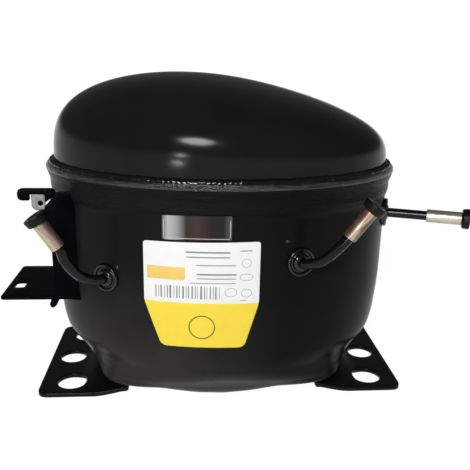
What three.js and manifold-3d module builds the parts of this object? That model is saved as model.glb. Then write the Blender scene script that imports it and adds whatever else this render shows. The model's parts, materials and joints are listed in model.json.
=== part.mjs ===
// A small hermetic reciprocating compressor: a welded two-piece steel shell on two foot plates,
// with its motor and single-cylinder pump hung on four springs inside.
// Millimetres, +Z up. Outside pieces are laid out from the shell's centre, with z = 0 under the feet.
import * as THREE from "three";
import { mergeVertices } from "three/addons/utils/BufferGeometryUtils.js";
import Module from "manifold-3d";

const wasm = await Module();
wasm.setup();

// ---------------------------------------------------------------- driving dimensions

const GAP = 0.3; // clearance between pieces that touch

// The shell is an ellipse in plan. Its wall lies at these half-sizes; other heights are insets from it.
const WALL = { a: 93.8, b: 68.4, sheet: 2.8, segments: 36 };
// Below the taper the bowl turns in, from the wall's ellipse to a squarer foot. Each ring is a height, the two
// half-sizes and the power of the curve round it.
const BOWL = [
  { z: 5.8, a: 60, b: 41, power: 4.4 },
  { z: 6.3, a: 65.5, b: 45.5, power: 4.8 },
  { z: 8.2, a: 69, b: 49.2, power: 4.6 },
  { z: 12, a: 72, b: 53.5, power: 3.4 },
  { z: 18, a: 77, b: 60, power: 2.4 },
  { z: 25, a: 84.5, b: 64.3, power: 2 },
  { z: 34, a: 90.5, b: 66.2, power: 2 },
  { z: 46, a: 92.5, b: 67.1, power: 2 },
];
const TAPER_TOP = 68;
const SUMP = { x: 1, a: 50, b: 51, bottom: 0.8, depth: 5, top: 12, power: 2 };
const RIM = { start: 107.7, step: 115, belly: 122, top: 124.7 };
const SKIRT = { bottom: 115.6, top: 124.2, outset: 0.2 };
const DOME = { base: 126, a: 92.55, b: 67.5, height: 45.8, lean: 10.556, sag: 3.476, plan: 1.855, power: 3.201 };

const FOOT = { inner: 52.3, outer: 102.2, halfWidth: 43.3, sheet: 2.6, corner: 6 };
const FOOT_HOLES = [
  { x: 85, y: -30, r: 8 },
  { x: 89.4, y: 0, r: 7.5 },
  { x: 85, y: 30, r: 8 },
];
const SADDLE = { a: 73.5, b: 46, start: 1.134, slope: 126, power: 1.75, lift: 2.9 };

const FENCE = { front: -39.5, back: 10, left: -89.5, backLeft: -99, right: -70, bottom: 57, top: 114.5, backTop: 102, sheet: 1.6 };
const SHELF = { left: -118, z: 57.2 };
const SHELF_SLOT = { x0: -114.5, x1: -109, y0: -25, y1: -16 };
const ARM = { left: -104.7, noseRight: -98.7, right: -86.6, low: 113.3, high: 116.4, noseDrop: 6.3 };
const TAB = { left: -98.4, right: -82, low: 104.5, high: 112.9, sheet: 0.8 };

const TERMINAL = { x: -91.4, y: -15, z: 93, hole: 13.5, cup: 13, glass: 9.8, pin: 1.15, pinCircle: 6 };

// The crank axis stands a little left of the shell's centre; the pump is drawn about it.
const CRANK_X = -8;
const MOTOR = { low: 36, high: 80, halfX: 46, halfY: 44, chamfer: 13, bore: 29, slots: 16 };
const ROTOR = { radius: 28.3, counterbore: 16.5, counterboreZ: 61.5, bars: 12, barCircle: 25 };
const POST = { x: 36, y: 27 }; // the four bolts, legs and springs
const SHAFT = { radius: 8, bottom: 24, throw: 9, pin: 7, pinTop: 113.7, webLow: 102.4, webHigh: 107.6 };
const BLOCK = { low: 94, high: 102, hub: 15.5, hubLow: 62, leg: 5.5 };
const CYLINDER = { z: 120, bore: 12.25, start: 27, end: 59.4, halfWidth: 17 };
const PISTON = { radius: 12, length: 22, crown: 59, crownSheet: 4, skirtBore: 9.6, pin: 3.6, pinX: 48 };
const ROD = { length: 39, thickness: 10, bigEnd: 12.5, bigBore: 7.3, smallEnd: 6.6 };
const SPRING = { low: 17, high: 30.8, radius: 5, wire: 0.9, turns: 4 };

// ---------------------------------------------------------------- materials

const steel = (color, roughness, metalness) => new THREE.MeshStandardMaterial({ color, roughness, metalness });
const blackPaint = steel(0x1b1b1c, 0.45, 0);
const matteBlack = steel(0x111112, 0.7, 0);
const weldPaint = steel(0x1f1f20, 0.5, 0);
const zincPlate = steel(0xc9c9c4, 0.35, 1);
const copper = steel(0xb9805a, 0.4, 1);
const blackRubber = steel(0x151515, 0.85, 0);
const labelPaper = steel(0xe9e5c2, 0.6, 0);
const clearLabel = steel(0xb8bcc0, 0.3, 0.4);
const castIron = steel(0x5c5d5e, 0.65, 0.7);
const groundSteel = steel(0xa7aaad, 0.3, 1);
const lamination = steel(0x6d7073, 0.5, 0.9);
const castAluminium = steel(0xb4b7ba, 0.45, 1);
const magnetWire = steel(0xa4552a, 0.4, 0.6);
const sealingGlass = steel(0x2f4a3c, 0.2, 0);
const springSteel = steel(0x84878a, 0.35, 1);
const whitePlastic = steel(0xd8d6cc, 0.55, 0);

// ---------------------------------------------------------------- shape helpers

// A closed geometry as a solid that can be joined and cut.
function solid(geometry) {
  const bare = new THREE.BufferGeometry();
  bare.setAttribute("position", geometry.getAttribute("position"));
  bare.setIndex(geometry.index);
  const merged = mergeVertices(bare, 1e-3);
  const mesh = new wasm.Mesh({
    numProp: 3,
    vertProperties: new Float32Array(merged.attributes.position.array),
    triVerts: new Uint32Array(merged.index.array),
  });
  return new wasm.Manifold(mesh);
}

// A solid back as a geometry for a mesh.
function geometryOf(body) {
  const { vertProperties, triVerts } = body.getMesh();
  const geometry = new THREE.BufferGeometry();
  geometry.setAttribute("position", new THREE.BufferAttribute(vertProperties, 3));
  geometry.setIndex(new THREE.BufferAttribute(triVerts, 1));
  geometry.computeVertexNormals();
  return geometry;
}

const joined = (bodies) => bodies.reduce((sum, body) => sum.add(body));
const without = (body, cutters) => cutters.reduce((rest, cutter) => rest.subtract(cutter), body);

// The corners of a regular polygon round (x, y). With flats true its flats, not its corners, lie at the radius.
function polygon(radius, sides, x = 0, y = 0, flats = false) {
  const reach = flats ? radius / Math.cos(Math.PI / sides) : radius;
  const corners = [];
  for (let i = 0; i < sides; i += 1) {
    const angle = (2 * Math.PI * i) / sides;
    corners.push(new THREE.Vector2(x + reach * Math.cos(angle), y + reach * Math.sin(angle)));
  }
  return corners;
}

// An outline with holes, raised from one height to another.
function prism(outline, low, high, holes = []) {
  const shape = new THREE.Shape(outline);
  shape.holes = holes.map((corners) => new THREE.Path(corners));
  const geometry = new THREE.ExtrudeGeometry(shape, { depth: high - low, bevelEnabled: false });
  return geometry.translate(0, 0, low);
}

function rod(radius, low, high, sides = 16, x = 0, y = 0) {
  return prism(polygon(radius, sides, x, y), low, high);
}

// A drill is a rod whose flats clear the radius.
function drill(radius, low, high, sides = 16, x = 0, y = 0) {
  return prism(polygon(radius, sides, x, y, true), low, high);
}

function box(x0, x1, y0, y1, z0, z1) {
  const geometry = new THREE.BoxGeometry(x1 - x0, y1 - y0, z1 - z0);
  return geometry.translate((x0 + x1) / 2, (y0 + y1) / 2, (z0 + z1) / 2);
}

// A rounded rectangle's corners, with every corner an arc.
function roundedRectangle(x0, x1, y0, y1, radius, steps = 4) {
  const corners = [];
  const centres = [
    [x1 - radius, y1 - radius, 0],
    [x0 + radius, y1 - radius, 1],
    [x0 + radius, y0 + radius, 2],
    [x1 - radius, y0 + radius, 3],
  ];
  for (const [cx, cy, quarter] of centres) {
    for (let i = 0; i <= steps; i += 1) {
      const angle = (Math.PI / 2) * (quarter + i / steps);
      corners.push(new THREE.Vector2(cx + radius * Math.cos(angle), cy + radius * Math.sin(angle)));
    }
  }
  return corners;
}

// A turned piece about +Z. Its profile [radius, height] runs up the outside, from the axis or closed on itself.
function turned(profile, sides = 24) {
  const points = profile.map(([radius, height]) => new THREE.Vector2(radius, height));
  return new THREE.LatheGeometry(points, sides).rotateX(Math.PI / 2);
}

// A closed ring profile turned about +Z.
function turnedRing(profile, sides = 24) {
  return turned([...profile, profile[0]], sides);
}

// A pipe or solid rod along a smooth path through points.
function pipe(path, outer, inner, steps, sides = 8) {
  const shape = new THREE.Shape(polygon(outer, sides));
  if (inner) shape.holes = [new THREE.Path(polygon(inner, sides))];
  return new THREE.ExtrudeGeometry(shape, { steps, bevelEnabled: false, extrudePath: path });
}

const vector = (x, y, z) => new THREE.Vector3(x, y, z);

// A closed skin through stacked rings, from one pole to the other. A pole is a ring of one point.
function loft(rings) {
  const positions = [];
  const starts = [];
  for (const ring of rings) {
    starts.push(positions.length / 3);
    for (const point of ring) positions.push(point.x, point.y, point.z);
  }
  const index = [];
  for (let i = 0; i + 1 < rings.length; i += 1) {
    const count = Math.max(rings[i].length, rings[i + 1].length);
    const at = (ring, j) => starts[ring] + (rings[ring].length === 1 ? 0 : j % count);
    for (let j = 0; j < count; j += 1) {
      if (rings[i].length > 1) index.push(at(i, j), at(i, j + 1), at(i + 1, j + 1));
      if (rings[i + 1].length > 1) index.push(at(i, j), at(i + 1, j + 1), at(i + 1, j));
    }
  }
  const geometry = new THREE.BufferGeometry();
  geometry.setAttribute("position", new THREE.Float32BufferAttribute(positions, 3));
  geometry.setIndex(index);
  return geometry;
}

// One ellipse of the shell: half-sizes a and b, at a height that may depend on the place round the ring.
function ellipse(a, b, height) {
  const ring = [];
  for (let j = 0; j < WALL.segments; j += 1) {
    const angle = (2 * Math.PI * j) / WALL.segments;
    const x = a * Math.cos(angle);
    const y = b * Math.sin(angle);
    ring.push(vector(x, y, typeof height === "function" ? height(x, y) : height));
  }
  return ring;
}

// A closed curve between an ellipse (power 2) and a rectangle (higher powers).
function squareRing(a, b, power, z) {
  const stretch = (value) => Math.sign(value) * Math.abs(value) ** (2 / power);
  return ellipse(1, 1, 0).map((p) => vector(a * stretch(p.x), b * stretch(p.y), z));
}

const insetRing = (inset, z) => ellipse(WALL.a - inset, WALL.b - inset, z);

// ---------------------------------------------------------------- the shell

// A ring of the bowl moved in by a depth; the floor moves up by the whole depth, higher rings by less.
function bowlRing({ z, a, b, power }, depth) {
  const height = z + depth * Math.max(0, 1 - (z - BOWL[0].z) / 20);
  return squareRing(a - depth, b - depth, power, height);
}

function bowlRings(depth) {
  const rings = BOWL.map((ring) => bowlRing(ring, depth));
  return [[vector(0, 0, BOWL[0].z + depth)], ...rings, insetRing(depth, TAPER_TOP)];
}

// The shallow dish under the floor, straight-sided above its rim so that it runs into the bowl.
function sumpSolid(depth) {
  const bottom = SUMP.bottom + depth;
  const at = (share, height) => ellipse((SUMP.a - depth) * share, (SUMP.b - depth) * share, height);
  const rings = [0.4, 0.7, 0.88, 1].map((share) => at(share, bottom + SUMP.depth * share ** SUMP.power));
  const skin = [[vector(0, 0, bottom)], ...rings, at(1, SUMP.top), [vector(0, 0, SUMP.top)]];
  return solid(loft(skin)).translate([SUMP.x, 0, 0]);
}

// Everything inside the lower shell's outer face, grown outwards by a margin.
function outerSolid(margin) {
  const skin = [
    ...bowlRings(-margin),
    insetRing(-margin, RIM.start),
    insetRing(-1.3 - margin, RIM.start + 4.8),
    insetRing(-1.3 - margin, RIM.step),
    insetRing(-3.1 - margin, RIM.step + 2.5),
    insetRing(-3.4 - margin, RIM.belly),
    insetRing(-1.8 - margin, RIM.top + margin),
    [vector(0, 0, RIM.top + margin)],
  ];
  return solid(loft(skin)).add(sumpSolid(-margin));
}

// The space inside the lower shell, kept a margin away from its inner face.
function cavitySolid(margin) {
  const depth = WALL.sheet + margin;
  const skin = [
    ...bowlRings(depth),
    insetRing(depth, SKIRT.bottom - GAP - 2.5),
    insetRing(margin - SKIRT.outset - GAP, SKIRT.bottom - GAP),
    insetRing(margin - SKIRT.outset - GAP, RIM.top + 10),
    [vector(0, 0, RIM.top + 10)],
  ];
  return solid(loft(skin)).add(sumpSolid(depth));
}

// The outward normal of the shell's wall at a place on it, level with the ground.
function wallNormal(x, y) {
  return vector(x / WALL.a ** 2, y / WALL.b ** 2, 0).normalize();
}

// A frame that stands on the wall: +Z points out of the wall, +Y points up.
function wallFrame(x, y, z) {
  const out = wallNormal(x, y);
  const up = vector(0, 0, 1);
  const side = new THREE.Vector3().crossVectors(up, out);
  return new THREE.Matrix4().makeBasis(side, up, out).setPosition(x, y, z);
}

// The dome's crown falls from left to right.
function domeHeight(x, lower) {
  const u = x / DOME.a;
  return DOME.height - lower - DOME.lean * u - DOME.sag * u * u;
}

// One ring of the dome, at a share of its half-sizes, offset inwards by a depth.
function domeRing(share, depth) {
  const rise = (1 - share ** DOME.plan) ** (1 / DOME.power);
  const height = (x) => DOME.base + domeHeight(x, depth) * rise;
  if (share === 0) return [vector(0, 0, height(0))];
  return ellipse((DOME.a - depth) * share, (DOME.b - depth) * share, height);
}

function upperShell() {
  const shares = [0, 0.2, 0.4, 0.62, 0.8, 0.92, 0.98, 1];
  const inner = shares.map((share) => domeRing(share, WALL.sheet));
  const outer = shares.map((share) => domeRing(share, 0)).reverse();
  const skirt = [
    insetRing(WALL.sheet - SKIRT.outset, SKIRT.top - 1),
    insetRing(WALL.sheet - SKIRT.outset, SKIRT.bottom),
    insetRing(-SKIRT.outset, SKIRT.bottom),
    insetRing(-SKIRT.outset, SKIRT.top),
  ];
  return loft([...inner, ...skirt, ...outer]);
}

// The weld bead lies in the groove between the lower shell's lip and the dome.
function seamWeld() {
  const section = [
    [-1.7, 125],
    [-1.5, 126.2],
    [-0.5, 127],
    [0.4, 127.3],
    [0.85, 127.1],
    [0.85, 126.3],
    [-0.2, 125],
  ];
  return solid(closedLoft(section.map(([inset, z]) => insetRing(inset, z))));
}

// A closed skin through rings whose last joins the first, such as a bead.
function closedLoft(rings) {
  const count = rings[0].length;
  const positions = rings.flat().flatMap((point) => [point.x, point.y, point.z]);
  const index = [];
  rings.forEach((ring, i) => {
    const low = i * count;
    const high = ((i + 1) % rings.length) * count;
    for (let j = 0; j < count; j += 1) {
      const next = (j + 1) % count;
      index.push(low + j, low + next, high + next, low + j, high + next, high + j);
    }
  });
  const geometry = new THREE.BufferGeometry();
  geometry.setAttribute("position", new THREE.Float32BufferAttribute(positions, 3));
  geometry.setIndex(index);
  return geometry;
}

// A cylinder across the wall, centred on a place on it.
function wallDrill(x, y, z, radius, inwards = 12, outwards = 12) {
  return solid(drill(radius, -inwards, outwards).applyMatrix4(wallFrame(x, y, z)));
}

// ---------------------------------------------------------------- the three pipe stubs

const SUCTION = {
  root: [-60.1, -52.5, 73.9],
  tube: 2.85,
  bore: 2.1,
  collar: 7.3,
  bends: [
    [-67.5, -59, 75.1],
    [-71.7, -63, 78.6],
    [-75, -66, 83.4],
    [-77.5, -67.8, 88.4],
  ],
  sleeveStart: [-79.7, -69, 94.9],
  sleeveEnd: [-87.3, -70, 106.8],
  sleeve: 3.55,
};
const DISCHARGE = {
  root: [35.7, -63.2, 85.3],
  tube: 2.8,
  bore: 2.05,
  collar: 7.4,
  bends: [
    [40.3, -70, 86.4],
    [43.6, -73.5, 88.5],
    [47.3, -76.5, 92.6],
    [51.4, -78.6, 97.9],
  ],
  sleeveStart: [54.9, -79.5, 102.6],
  sleeveEnd: [63.9, -81, 115.2],
  sleeve: 3.5,
};
const PROCESS = {
  root: [90.4, -18, 98.9],
  tube: 2.85,
  bore: 2.1,
  collar: 7.9,
  bends: [],
  sleeveStart: [112.4, -26.2, 98.9],
  sleeveEnd: [129.6, -32.6, 98.9],
  sleeve: 3.55,
};
const SOCKET = 4; // how far a tube's end lies inside its sleeve
const PLUG = { flange: 5.65, thickness: 4, stem: 8 };

const pointOf = ([x, y, z]) => vector(x, y, z);

// Where a stub starts inside the shell, along the wall's normal.
function insideEnd(stub, depth) {
  const root = pointOf(stub.root);
  return root.addScaledVector(wallNormal(root.x, root.y), -depth);
}

// A frame along a sleeve: +Z runs from its start to its end.
function sleeveFrame(stub) {
  const start = pointOf(stub.sleeveStart);
  const along = pointOf(stub.sleeveEnd).sub(start).normalize();
  const turn = new THREE.Quaternion().setFromUnitVectors(vector(0, 0, 1), along);
  return new THREE.Matrix4().makeRotationFromQuaternion(turn).setPosition(start);
}

const sleeveLength = (stub) => pointOf(stub.sleeveStart).distanceTo(pointOf(stub.sleeveEnd));

function stubTube(stub) {
  const frame = sleeveFrame(stub);
  const ends = [vector(0, 0, -2), vector(0, 0, SOCKET)].map((point) => point.applyMatrix4(frame));
  const straight = [8, 2, -2, -4].map((depth) => insideEnd(stub, depth));
  const route = [...straight, ...stub.bends.map(pointOf), ...ends];
  const steps = stub.bends.length ? 12 : 2;
  return pipe(new THREE.CatmullRomCurve3(route, false, "centripetal"), stub.tube, stub.bore, steps);
}

// The collar is a domed weld ring that sits on the wall.
function stubCollar(stub, wall) {
  const hole = stub.tube + GAP;
  const section = [
    [hole, -6],
    [stub.collar, -6],
    [stub.collar, 0.8],
    [stub.collar - 1.2, 2.1],
    [hole + 1.6, 2.9],
    [hole, 2.9],
  ];
  const ring = solid(turnedRing(section, 16).applyMatrix4(wallFrame(...stub.root)));
  return ring.subtract(wall);
}

// The sleeve is a bare pipe end with a socket at the foot for the painted tube.
function stubSleeve(stub) {
  const length = sleeveLength(stub);
  const socket = (stub.tube + 0.15) / Math.cos(Math.PI / 12);
  const section = [
    [socket, 0],
    [stub.sleeve - 0.1, 0],
    [stub.sleeve, 0.6],
    [stub.sleeve, length],
    [stub.sleeve - 0.9, length],
    [stub.sleeve - 0.9, SOCKET + GAP],
    [socket, SOCKET + GAP],
  ];
  return turnedRing(section, 12);
}

// The rubber transport plug: a stem in the sleeve and a thick flange against its end, widest at its face.
function stubPlug(stub) {
  const end = sleeveLength(stub) + GAP;
  const profile = [
    [0, end - PLUG.stem],
    [stub.sleeve - 1.4, end - PLUG.stem + 0.8],
    [stub.sleeve - 1.25, end],
    [PLUG.flange - 0.9, end],
    [PLUG.flange - 0.4, end + 0.5],
    [PLUG.flange, end + PLUG.thickness - 0.5],
    [PLUG.flange - 0.4, end + PLUG.thickness],
    [0, end + PLUG.thickness],
  ];
  return turned(profile, 16);
}

// ---------------------------------------------------------------- feet, fence and labels

// How far the foot's sheet is lifted off the ground: a ramp up to the saddle under the shell.
function footLift(x, y) {
  const { a, b, start, slope, power, lift } = SADDLE;
  const reach = ((Math.abs(x) / a) ** 4 + (Math.abs(y) / b) ** 4) ** 0.25;
  return Math.min(slope * Math.max(start - reach, 0) ** power, lift);
}

// A sheet of even thickness over a grid of places, lifted by a function.
function formedSheet(xs, ys, lift, thickness) {
  const surface = (raise) => xs.map((x) => ys.map((y) => vector(x, y, lift(x, y) + raise)));
  const rows = ys.length;
  const positions = [surface(0), surface(thickness)].flat(2).flatMap((p) => [p.x, p.y, p.z]);
  const under = (i, j) => i * rows + j;
  const over = (i, j) => (xs.length + i) * rows + j;
  const index = [];
  const quad = (p, q, r, s) => index.push(p, q, r, p, r, s);
  for (let i = 0; i + 1 < xs.length; i += 1) {
    for (let j = 0; j + 1 < rows; j += 1) {
      quad(over(i, j), over(i + 1, j), over(i + 1, j + 1), over(i, j + 1));
      quad(under(i, j), under(i, j + 1), under(i + 1, j + 1), under(i + 1, j));
    }
    quad(under(i, 0), under(i + 1, 0), over(i + 1, 0), over(i, 0));
    quad(under(i + 1, rows - 1), under(i, rows - 1), over(i, rows - 1), over(i + 1, rows - 1));
  }
  const last = xs.length - 1;
  for (let j = 0; j + 1 < rows; j += 1) {
    quad(under(0, j + 1), under(0, j), over(0, j), over(0, j + 1));
    quad(under(last, j), under(last, j + 1), over(last, j + 1), over(last, j));
  }
  const geometry = new THREE.BufferGeometry();
  geometry.setAttribute("position", new THREE.Float32BufferAttribute(positions, 3));
  geometry.setIndex(index);
  return geometry;
}

// A foot plate. Side -1 is the left one and side 1 the right one.
function footPlate(side, wall) {
  const across = [50, 54, 58, 62, 66, 71, 75, 79, 83.5, 104];
  const along = [-46, -38, -30, -20, 0, 20, 30, 38, 46];
  const xs = side < 0 ? across.map((x) => -x).reverse() : across;
  const sheet = solid(formedSheet(xs, along, footLift, FOOT.sheet));
  const near = Math.min(side * FOOT.inner, side * FOOT.outer);
  const far = Math.max(side * FOOT.inner, side * FOOT.outer);
  const rounded = roundedRectangle(near - (side > 0 ? 30 : 0), far + (side < 0 ? 30 : 0), -FOOT.halfWidth, FOOT.halfWidth, FOOT.corner);
  const trimmed = rounded.map((p) => new THREE.Vector2(side * Math.max(side * p.x, FOOT.inner), p.y));
  const outline = trimmed.filter((p, i) => !i || p.distanceTo(trimmed[i - 1]) > 0.01);
  const holes = FOOT_HOLES.map(({ x, y, r }) => polygon(r, 18, side * x, y));
  return sheet.intersect(solid(prism(outline, -1, 20, holes))).subtract(wall);
}

// A flat outline drawn in x and z, made into a plate between two depths.
function uprightPlate(outline, front, back) {
  return prism(outline, 0, back - front).rotateX(Math.PI / 2).translate(0, back, 0);
}

const outlineOf = (pairs) => pairs.map(([x, z]) => new THREE.Vector2(x, z));

// The fence: two walls and a shelf of one folded sheet, with a hook below and an arm on top.
function terminalFence(wall) {
  const { front, back, left, backLeft, right, bottom, top, sheet } = FENCE;
  // The front wall has an ear beside the arm, above its straight edge.
  const frontFace = outlineOf([
    [left, bottom + 1],
    [right, bottom - 1],
    [right, top],
    [-86.4, top],
    [-88.2, 110.8],
    [-91.2, 107],
    [-91, 105.6],
    [left, 104],
  ]);
  const backFace = outlineOf([
    [backLeft, bottom + 1],
    [right, bottom - 1],
    [right, FENCE.backTop],
    [backLeft, FENCE.backTop],
  ]);
  const walls = [
    solid(uprightPlate(frontFace, front, front + sheet)),
    solid(uprightPlate(backFace, back - sheet, back)),
  ];
  const slot = roundedRectangle(SHELF_SLOT.x0, SHELF_SLOT.x1, SHELF_SLOT.y0, SHELF_SLOT.y1, 1, 2);
  const plan = roundedRectangle(SHELF.left, right, front, back, 3, 3);
  const shelf = solid(prism(plan, SHELF.z - sheet / 2, SHELF.z + sheet / 2, [slot]));
  const hookOutline = outlineOf([
    [-90.4, 57.5],
    [-91.4, 55.2],
    [-92.8, 54.2],
    [-93.2, 52.9],
    [-92.6, 51.8],
    [-91, 51.6],
    [-89.2, 53.5],
    [-88, 56],
    [-87.6, 57.5],
  ]);
  const hook = solid(uprightPlate(hookOutline, front, front + 5));
  const armOutline = outlineOf([
    [ARM.right, ARM.high - 0.4],
    [ARM.right - 1.2, ARM.high],
    [ARM.left + 3, ARM.high],
    [ARM.left + 1, ARM.high - 0.9],
    [ARM.left, ARM.high - 2.6],
    [ARM.left, ARM.high - ARM.noseDrop + 2],
    [ARM.left + 0.8, ARM.high - ARM.noseDrop + 0.6],
    [ARM.left + 2.4, ARM.high - ARM.noseDrop],
    [ARM.noseRight - 0.6, ARM.high - ARM.noseDrop],
    [ARM.noseRight, ARM.high - ARM.noseDrop + 0.6],
    [ARM.noseRight, ARM.low],
    [ARM.right, ARM.low],
  ]);
  const arm = solid(uprightPlate(armOutline, front - 0.7, front + sheet + 0.7));
  return joined([...walls, shelf, hook, arm]).subtract(wall);
}

// The earth tab lies against the inside of the fence's front wall.
function earthTab() {
  const near = FENCE.front + FENCE.sheet + GAP;
  const outline = outlineOf([
    [TAB.left, TAB.low + 1.8],
    [TAB.left + 2, TAB.low],
    [TAB.right, TAB.low],
    [TAB.right, TAB.high],
    [TAB.left + 0.4, TAB.high],
    [TAB.left, TAB.high - 0.4],
  ]);
  const plate = solid(uprightPlate(outline, near, near + TAB.sheet));
  const hole = solid(uprightPlate(polygon(1.3, 12, -93.9, 108.3), near - 1, near + 2));
  return plate.subtract(hole);
}

// A thin plate that follows the shell's front wall.
function wallLabel(outline, thickness) {
  const skin = outerSolid(GAP + thickness).subtract(outerSolid(GAP));
  return skin.intersect(solid(uprightPlate(outline, -90, -20)));
}

const RATING_OUTLINE = outlineOf([
  [-40.9, 96.3],
  [-40.9, 65.5],
  [-32.8, 41],
  [8.6, 41],
  [15.4, 65.5],
  [15.4, 97.1],
]);
const SERIAL_OUTLINE = outlineOf([
  [-31.6, 97.6],
  [1.4, 97.9],
  [1.4, 110],
  [-31.6, 109.6],
]);

// ---------------------------------------------------------------- the electrical terminal (+Z out of the wall)

function terminalBody() {
  const { cup, glass } = TERMINAL;
  const section = [
    [glass + GAP, -5],
    [cup, -5],
    [cup, 2],
    [cup - 0.8, 2.6],
    [glass + GAP + 0.4, 2.6],
    [glass + GAP, 2.2],
  ];
  return turnedRing(section, 20);
}

const pinPlaces = [90, 210, 330].map((degrees) => {
  const angle = THREE.MathUtils.degToRad(degrees);
  return [TERMINAL.pinCircle * Math.cos(angle), TERMINAL.pinCircle * Math.sin(angle)];
});

function terminalGlass() {
  const holes = pinPlaces.map(([x, y]) => polygon(TERMINAL.pin + GAP, 8, x, y, true));
  return prism(polygon(TERMINAL.glass, 20), -4.5, 0, holes);
}

// ---------------------------------------------------------------- the motor, about the crank axis

const postPlaces = [
  [-POST.x, -POST.y],
  [POST.x, -POST.y],
  [POST.x, POST.y],
  [-POST.x, POST.y],
];

const polar = (radius, angle) => new THREE.Vector2(radius * Math.cos(angle), radius * Math.sin(angle));

// The bore with a semi-closed slot behind each tooth gap.
function slottedBore() {
  const corners = [];
  const mouth = 0.03;
  const slot = 0.085;
  for (let i = 0; i < MOTOR.slots; i += 1) {
    const angle = (2 * Math.PI * (i + 0.5)) / MOTOR.slots;
    corners.push(polar(MOTOR.bore, angle - mouth));
    corners.push(polar(MOTOR.bore + 1.4, angle - mouth));
    corners.push(polar(MOTOR.bore + 2, angle - slot));
    corners.push(polar(MOTOR.bore + 9, angle - slot));
    corners.push(polar(MOTOR.bore + 9, angle + slot));
    corners.push(polar(MOTOR.bore + 2, angle + slot));
    corners.push(polar(MOTOR.bore + 1.4, angle + mouth));
    corners.push(polar(MOTOR.bore, angle + mouth));
  }
  return corners;
}

function statorCore() {
  const { halfX, halfY, chamfer, low, high } = MOTOR;
  const outline = outlineOf([
    [halfX - chamfer, halfY],
    [chamfer - halfX, halfY],
    [-halfX, halfY - chamfer],
    [-halfX, chamfer - halfY],
    [chamfer - halfX, -halfY],
    [halfX - chamfer, -halfY],
    [halfX, chamfer - halfY],
    [halfX, halfY - chamfer],
  ]);
  const bolts = postPlaces.map(([x, y]) => polygon(2.8, 10, x, y, true));
  return prism(outline, low, high, [slottedBore(), ...bolts]);
}

// The winding: a bar of wire in every slot, joined by the end turns above and below the core.
function statorWinding() {
  const inner = MOTOR.bore + 2.4;
  const outer = MOTOR.bore + 9.3;
  const endTurn = (core, far) => [
    [inner, core],
    [outer, core],
    [outer, core + (far - core) * 0.7],
    [outer - 2, far],
    [inner + 1.5, far],
    [inner, core + (far - core) * 0.8],
  ];
  const below = endTurn(MOTOR.low - GAP, MOTOR.low - 11).reverse();
  const above = endTurn(MOTOR.high + GAP, MOTOR.high + 11);
  const bars = [];
  for (let i = 0; i < MOTOR.slots; i += 1) {
    const bar = box(inner + 0.3, MOTOR.bore + 8.6, -2.1, 2.1, MOTOR.low - 1, MOTOR.high + 1);
    bars.push(solid(bar.rotateZ((2 * Math.PI * (i + 0.5)) / MOTOR.slots)));
  }
  return joined([solid(turnedRing(below, 20)), solid(turnedRing(above, 20)), ...bars]);
}

// A flanged bolt from under the core up into a leg of the block. Its head seats a spring.
function statorBolt() {
  const { low } = MOTOR;
  const profile = [
    [0, low - 8],
    [3, low - 8],
    [3.5, low - 7],
    [3.5, low - 4],
    [5.7, low - 4],
    [5.7, low - GAP],
    [2.4, low - GAP],
    [2.4, 91.5],
    [0, 92],
  ];
  return turned(profile, 8);
}

function rotorCore() {
  const { radius, counterbore, counterboreZ, bars, barCircle } = ROTOR;
  const notches = [];
  for (let i = 0; i < bars; i += 1) {
    const place = polar(barCircle, (2 * Math.PI * i) / bars);
    notches.push(polygon(2, 6, place.x, place.y, true));
  }
  const bore = polygon(SHAFT.radius + GAP, 16, 0, 0, true);
  const stack = solid(prism(polygon(radius, 28), MOTOR.low, MOTOR.high, [bore, ...notches]));
  return stack.subtract(solid(drill(counterbore, counterboreZ, MOTOR.high + 5, 20)));
}

// The cast cage: a bar through every notch, with an end ring above and below.
function rotorCage() {
  const ring = (low, high) =>
    turnedRing(
      [
        [19, low],
        [27.4, low],
        [27.4, high],
        [19, high],
      ],
      18,
    );
  const bars = [];
  for (let i = 0; i < ROTOR.bars; i += 1) {
    const place = polar(ROTOR.barCircle, (2 * Math.PI * i) / ROTOR.bars);
    bars.push(solid(rod(1.7, MOTOR.low - 1, MOTOR.high + 1, 6, place.x, place.y)));
  }
  const below = solid(ring(MOTOR.low - 6, MOTOR.low - GAP));
  const above = solid(ring(MOTOR.high + GAP, MOTOR.high + 6));
  return joined([below, above, ...bars]);
}

// ---------------------------------------------------------------- the pump, about the crank axis

// The web carries the pin's lobe on one side and the counterweight on the other.
function webOutline() {
  const arc = (cx, radius, from, to, steps) => {
    const points = [];
    for (let i = 0; i <= steps; i += 1) {
      const angle = THREE.MathUtils.degToRad(from + ((to - from) * i) / steps);
      points.push(new THREE.Vector2(cx + radius * Math.cos(angle), radius * Math.sin(angle)));
    }
    return points;
  };
  return [
    ...arc(0, 26, 125, 235, 9),
    ...arc(0, 14, 245, 290, 2),
    ...arc(SHAFT.throw, 10, -70, 70, 5),
    ...arc(0, 14, 70, 115, 2),
  ];
}

// The crankshaft at top dead centre, its throw towards the cylinder.
function crankshaft() {
  const shaft = solid(rod(SHAFT.radius, SHAFT.bottom, SHAFT.webLow + 1, 20));
  const web = solid(prism(webOutline(), SHAFT.webLow, SHAFT.webHigh));
  const pin = solid(rod(SHAFT.pin, SHAFT.webLow + 1, SHAFT.pinTop, 20, SHAFT.throw, 0));
  const oilWell = solid(drill(5, SHAFT.bottom - 1, SHAFT.bottom + 16, 16));
  const oilWay = solid(pipe(new THREE.LineCurve3(vector(0, 0, 38), vector(SHAFT.throw, 0, SHAFT.pinTop + 1)), 1.2, 0, 1, 8));
  return without(joined([shaft, web, pin]), [oilWell, oilWay]);
}

// The oil tube hangs from the shaft into the sump and narrows at its mouth.
function oilPickup() {
  const section = [
    [2.2, 8],
    [3, 8],
    [4.6, 15],
    [4.6, 36],
    [3.4, 36],
    [3.4, 15.5],
  ];
  return turnedRing(section, 10);
}

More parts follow.
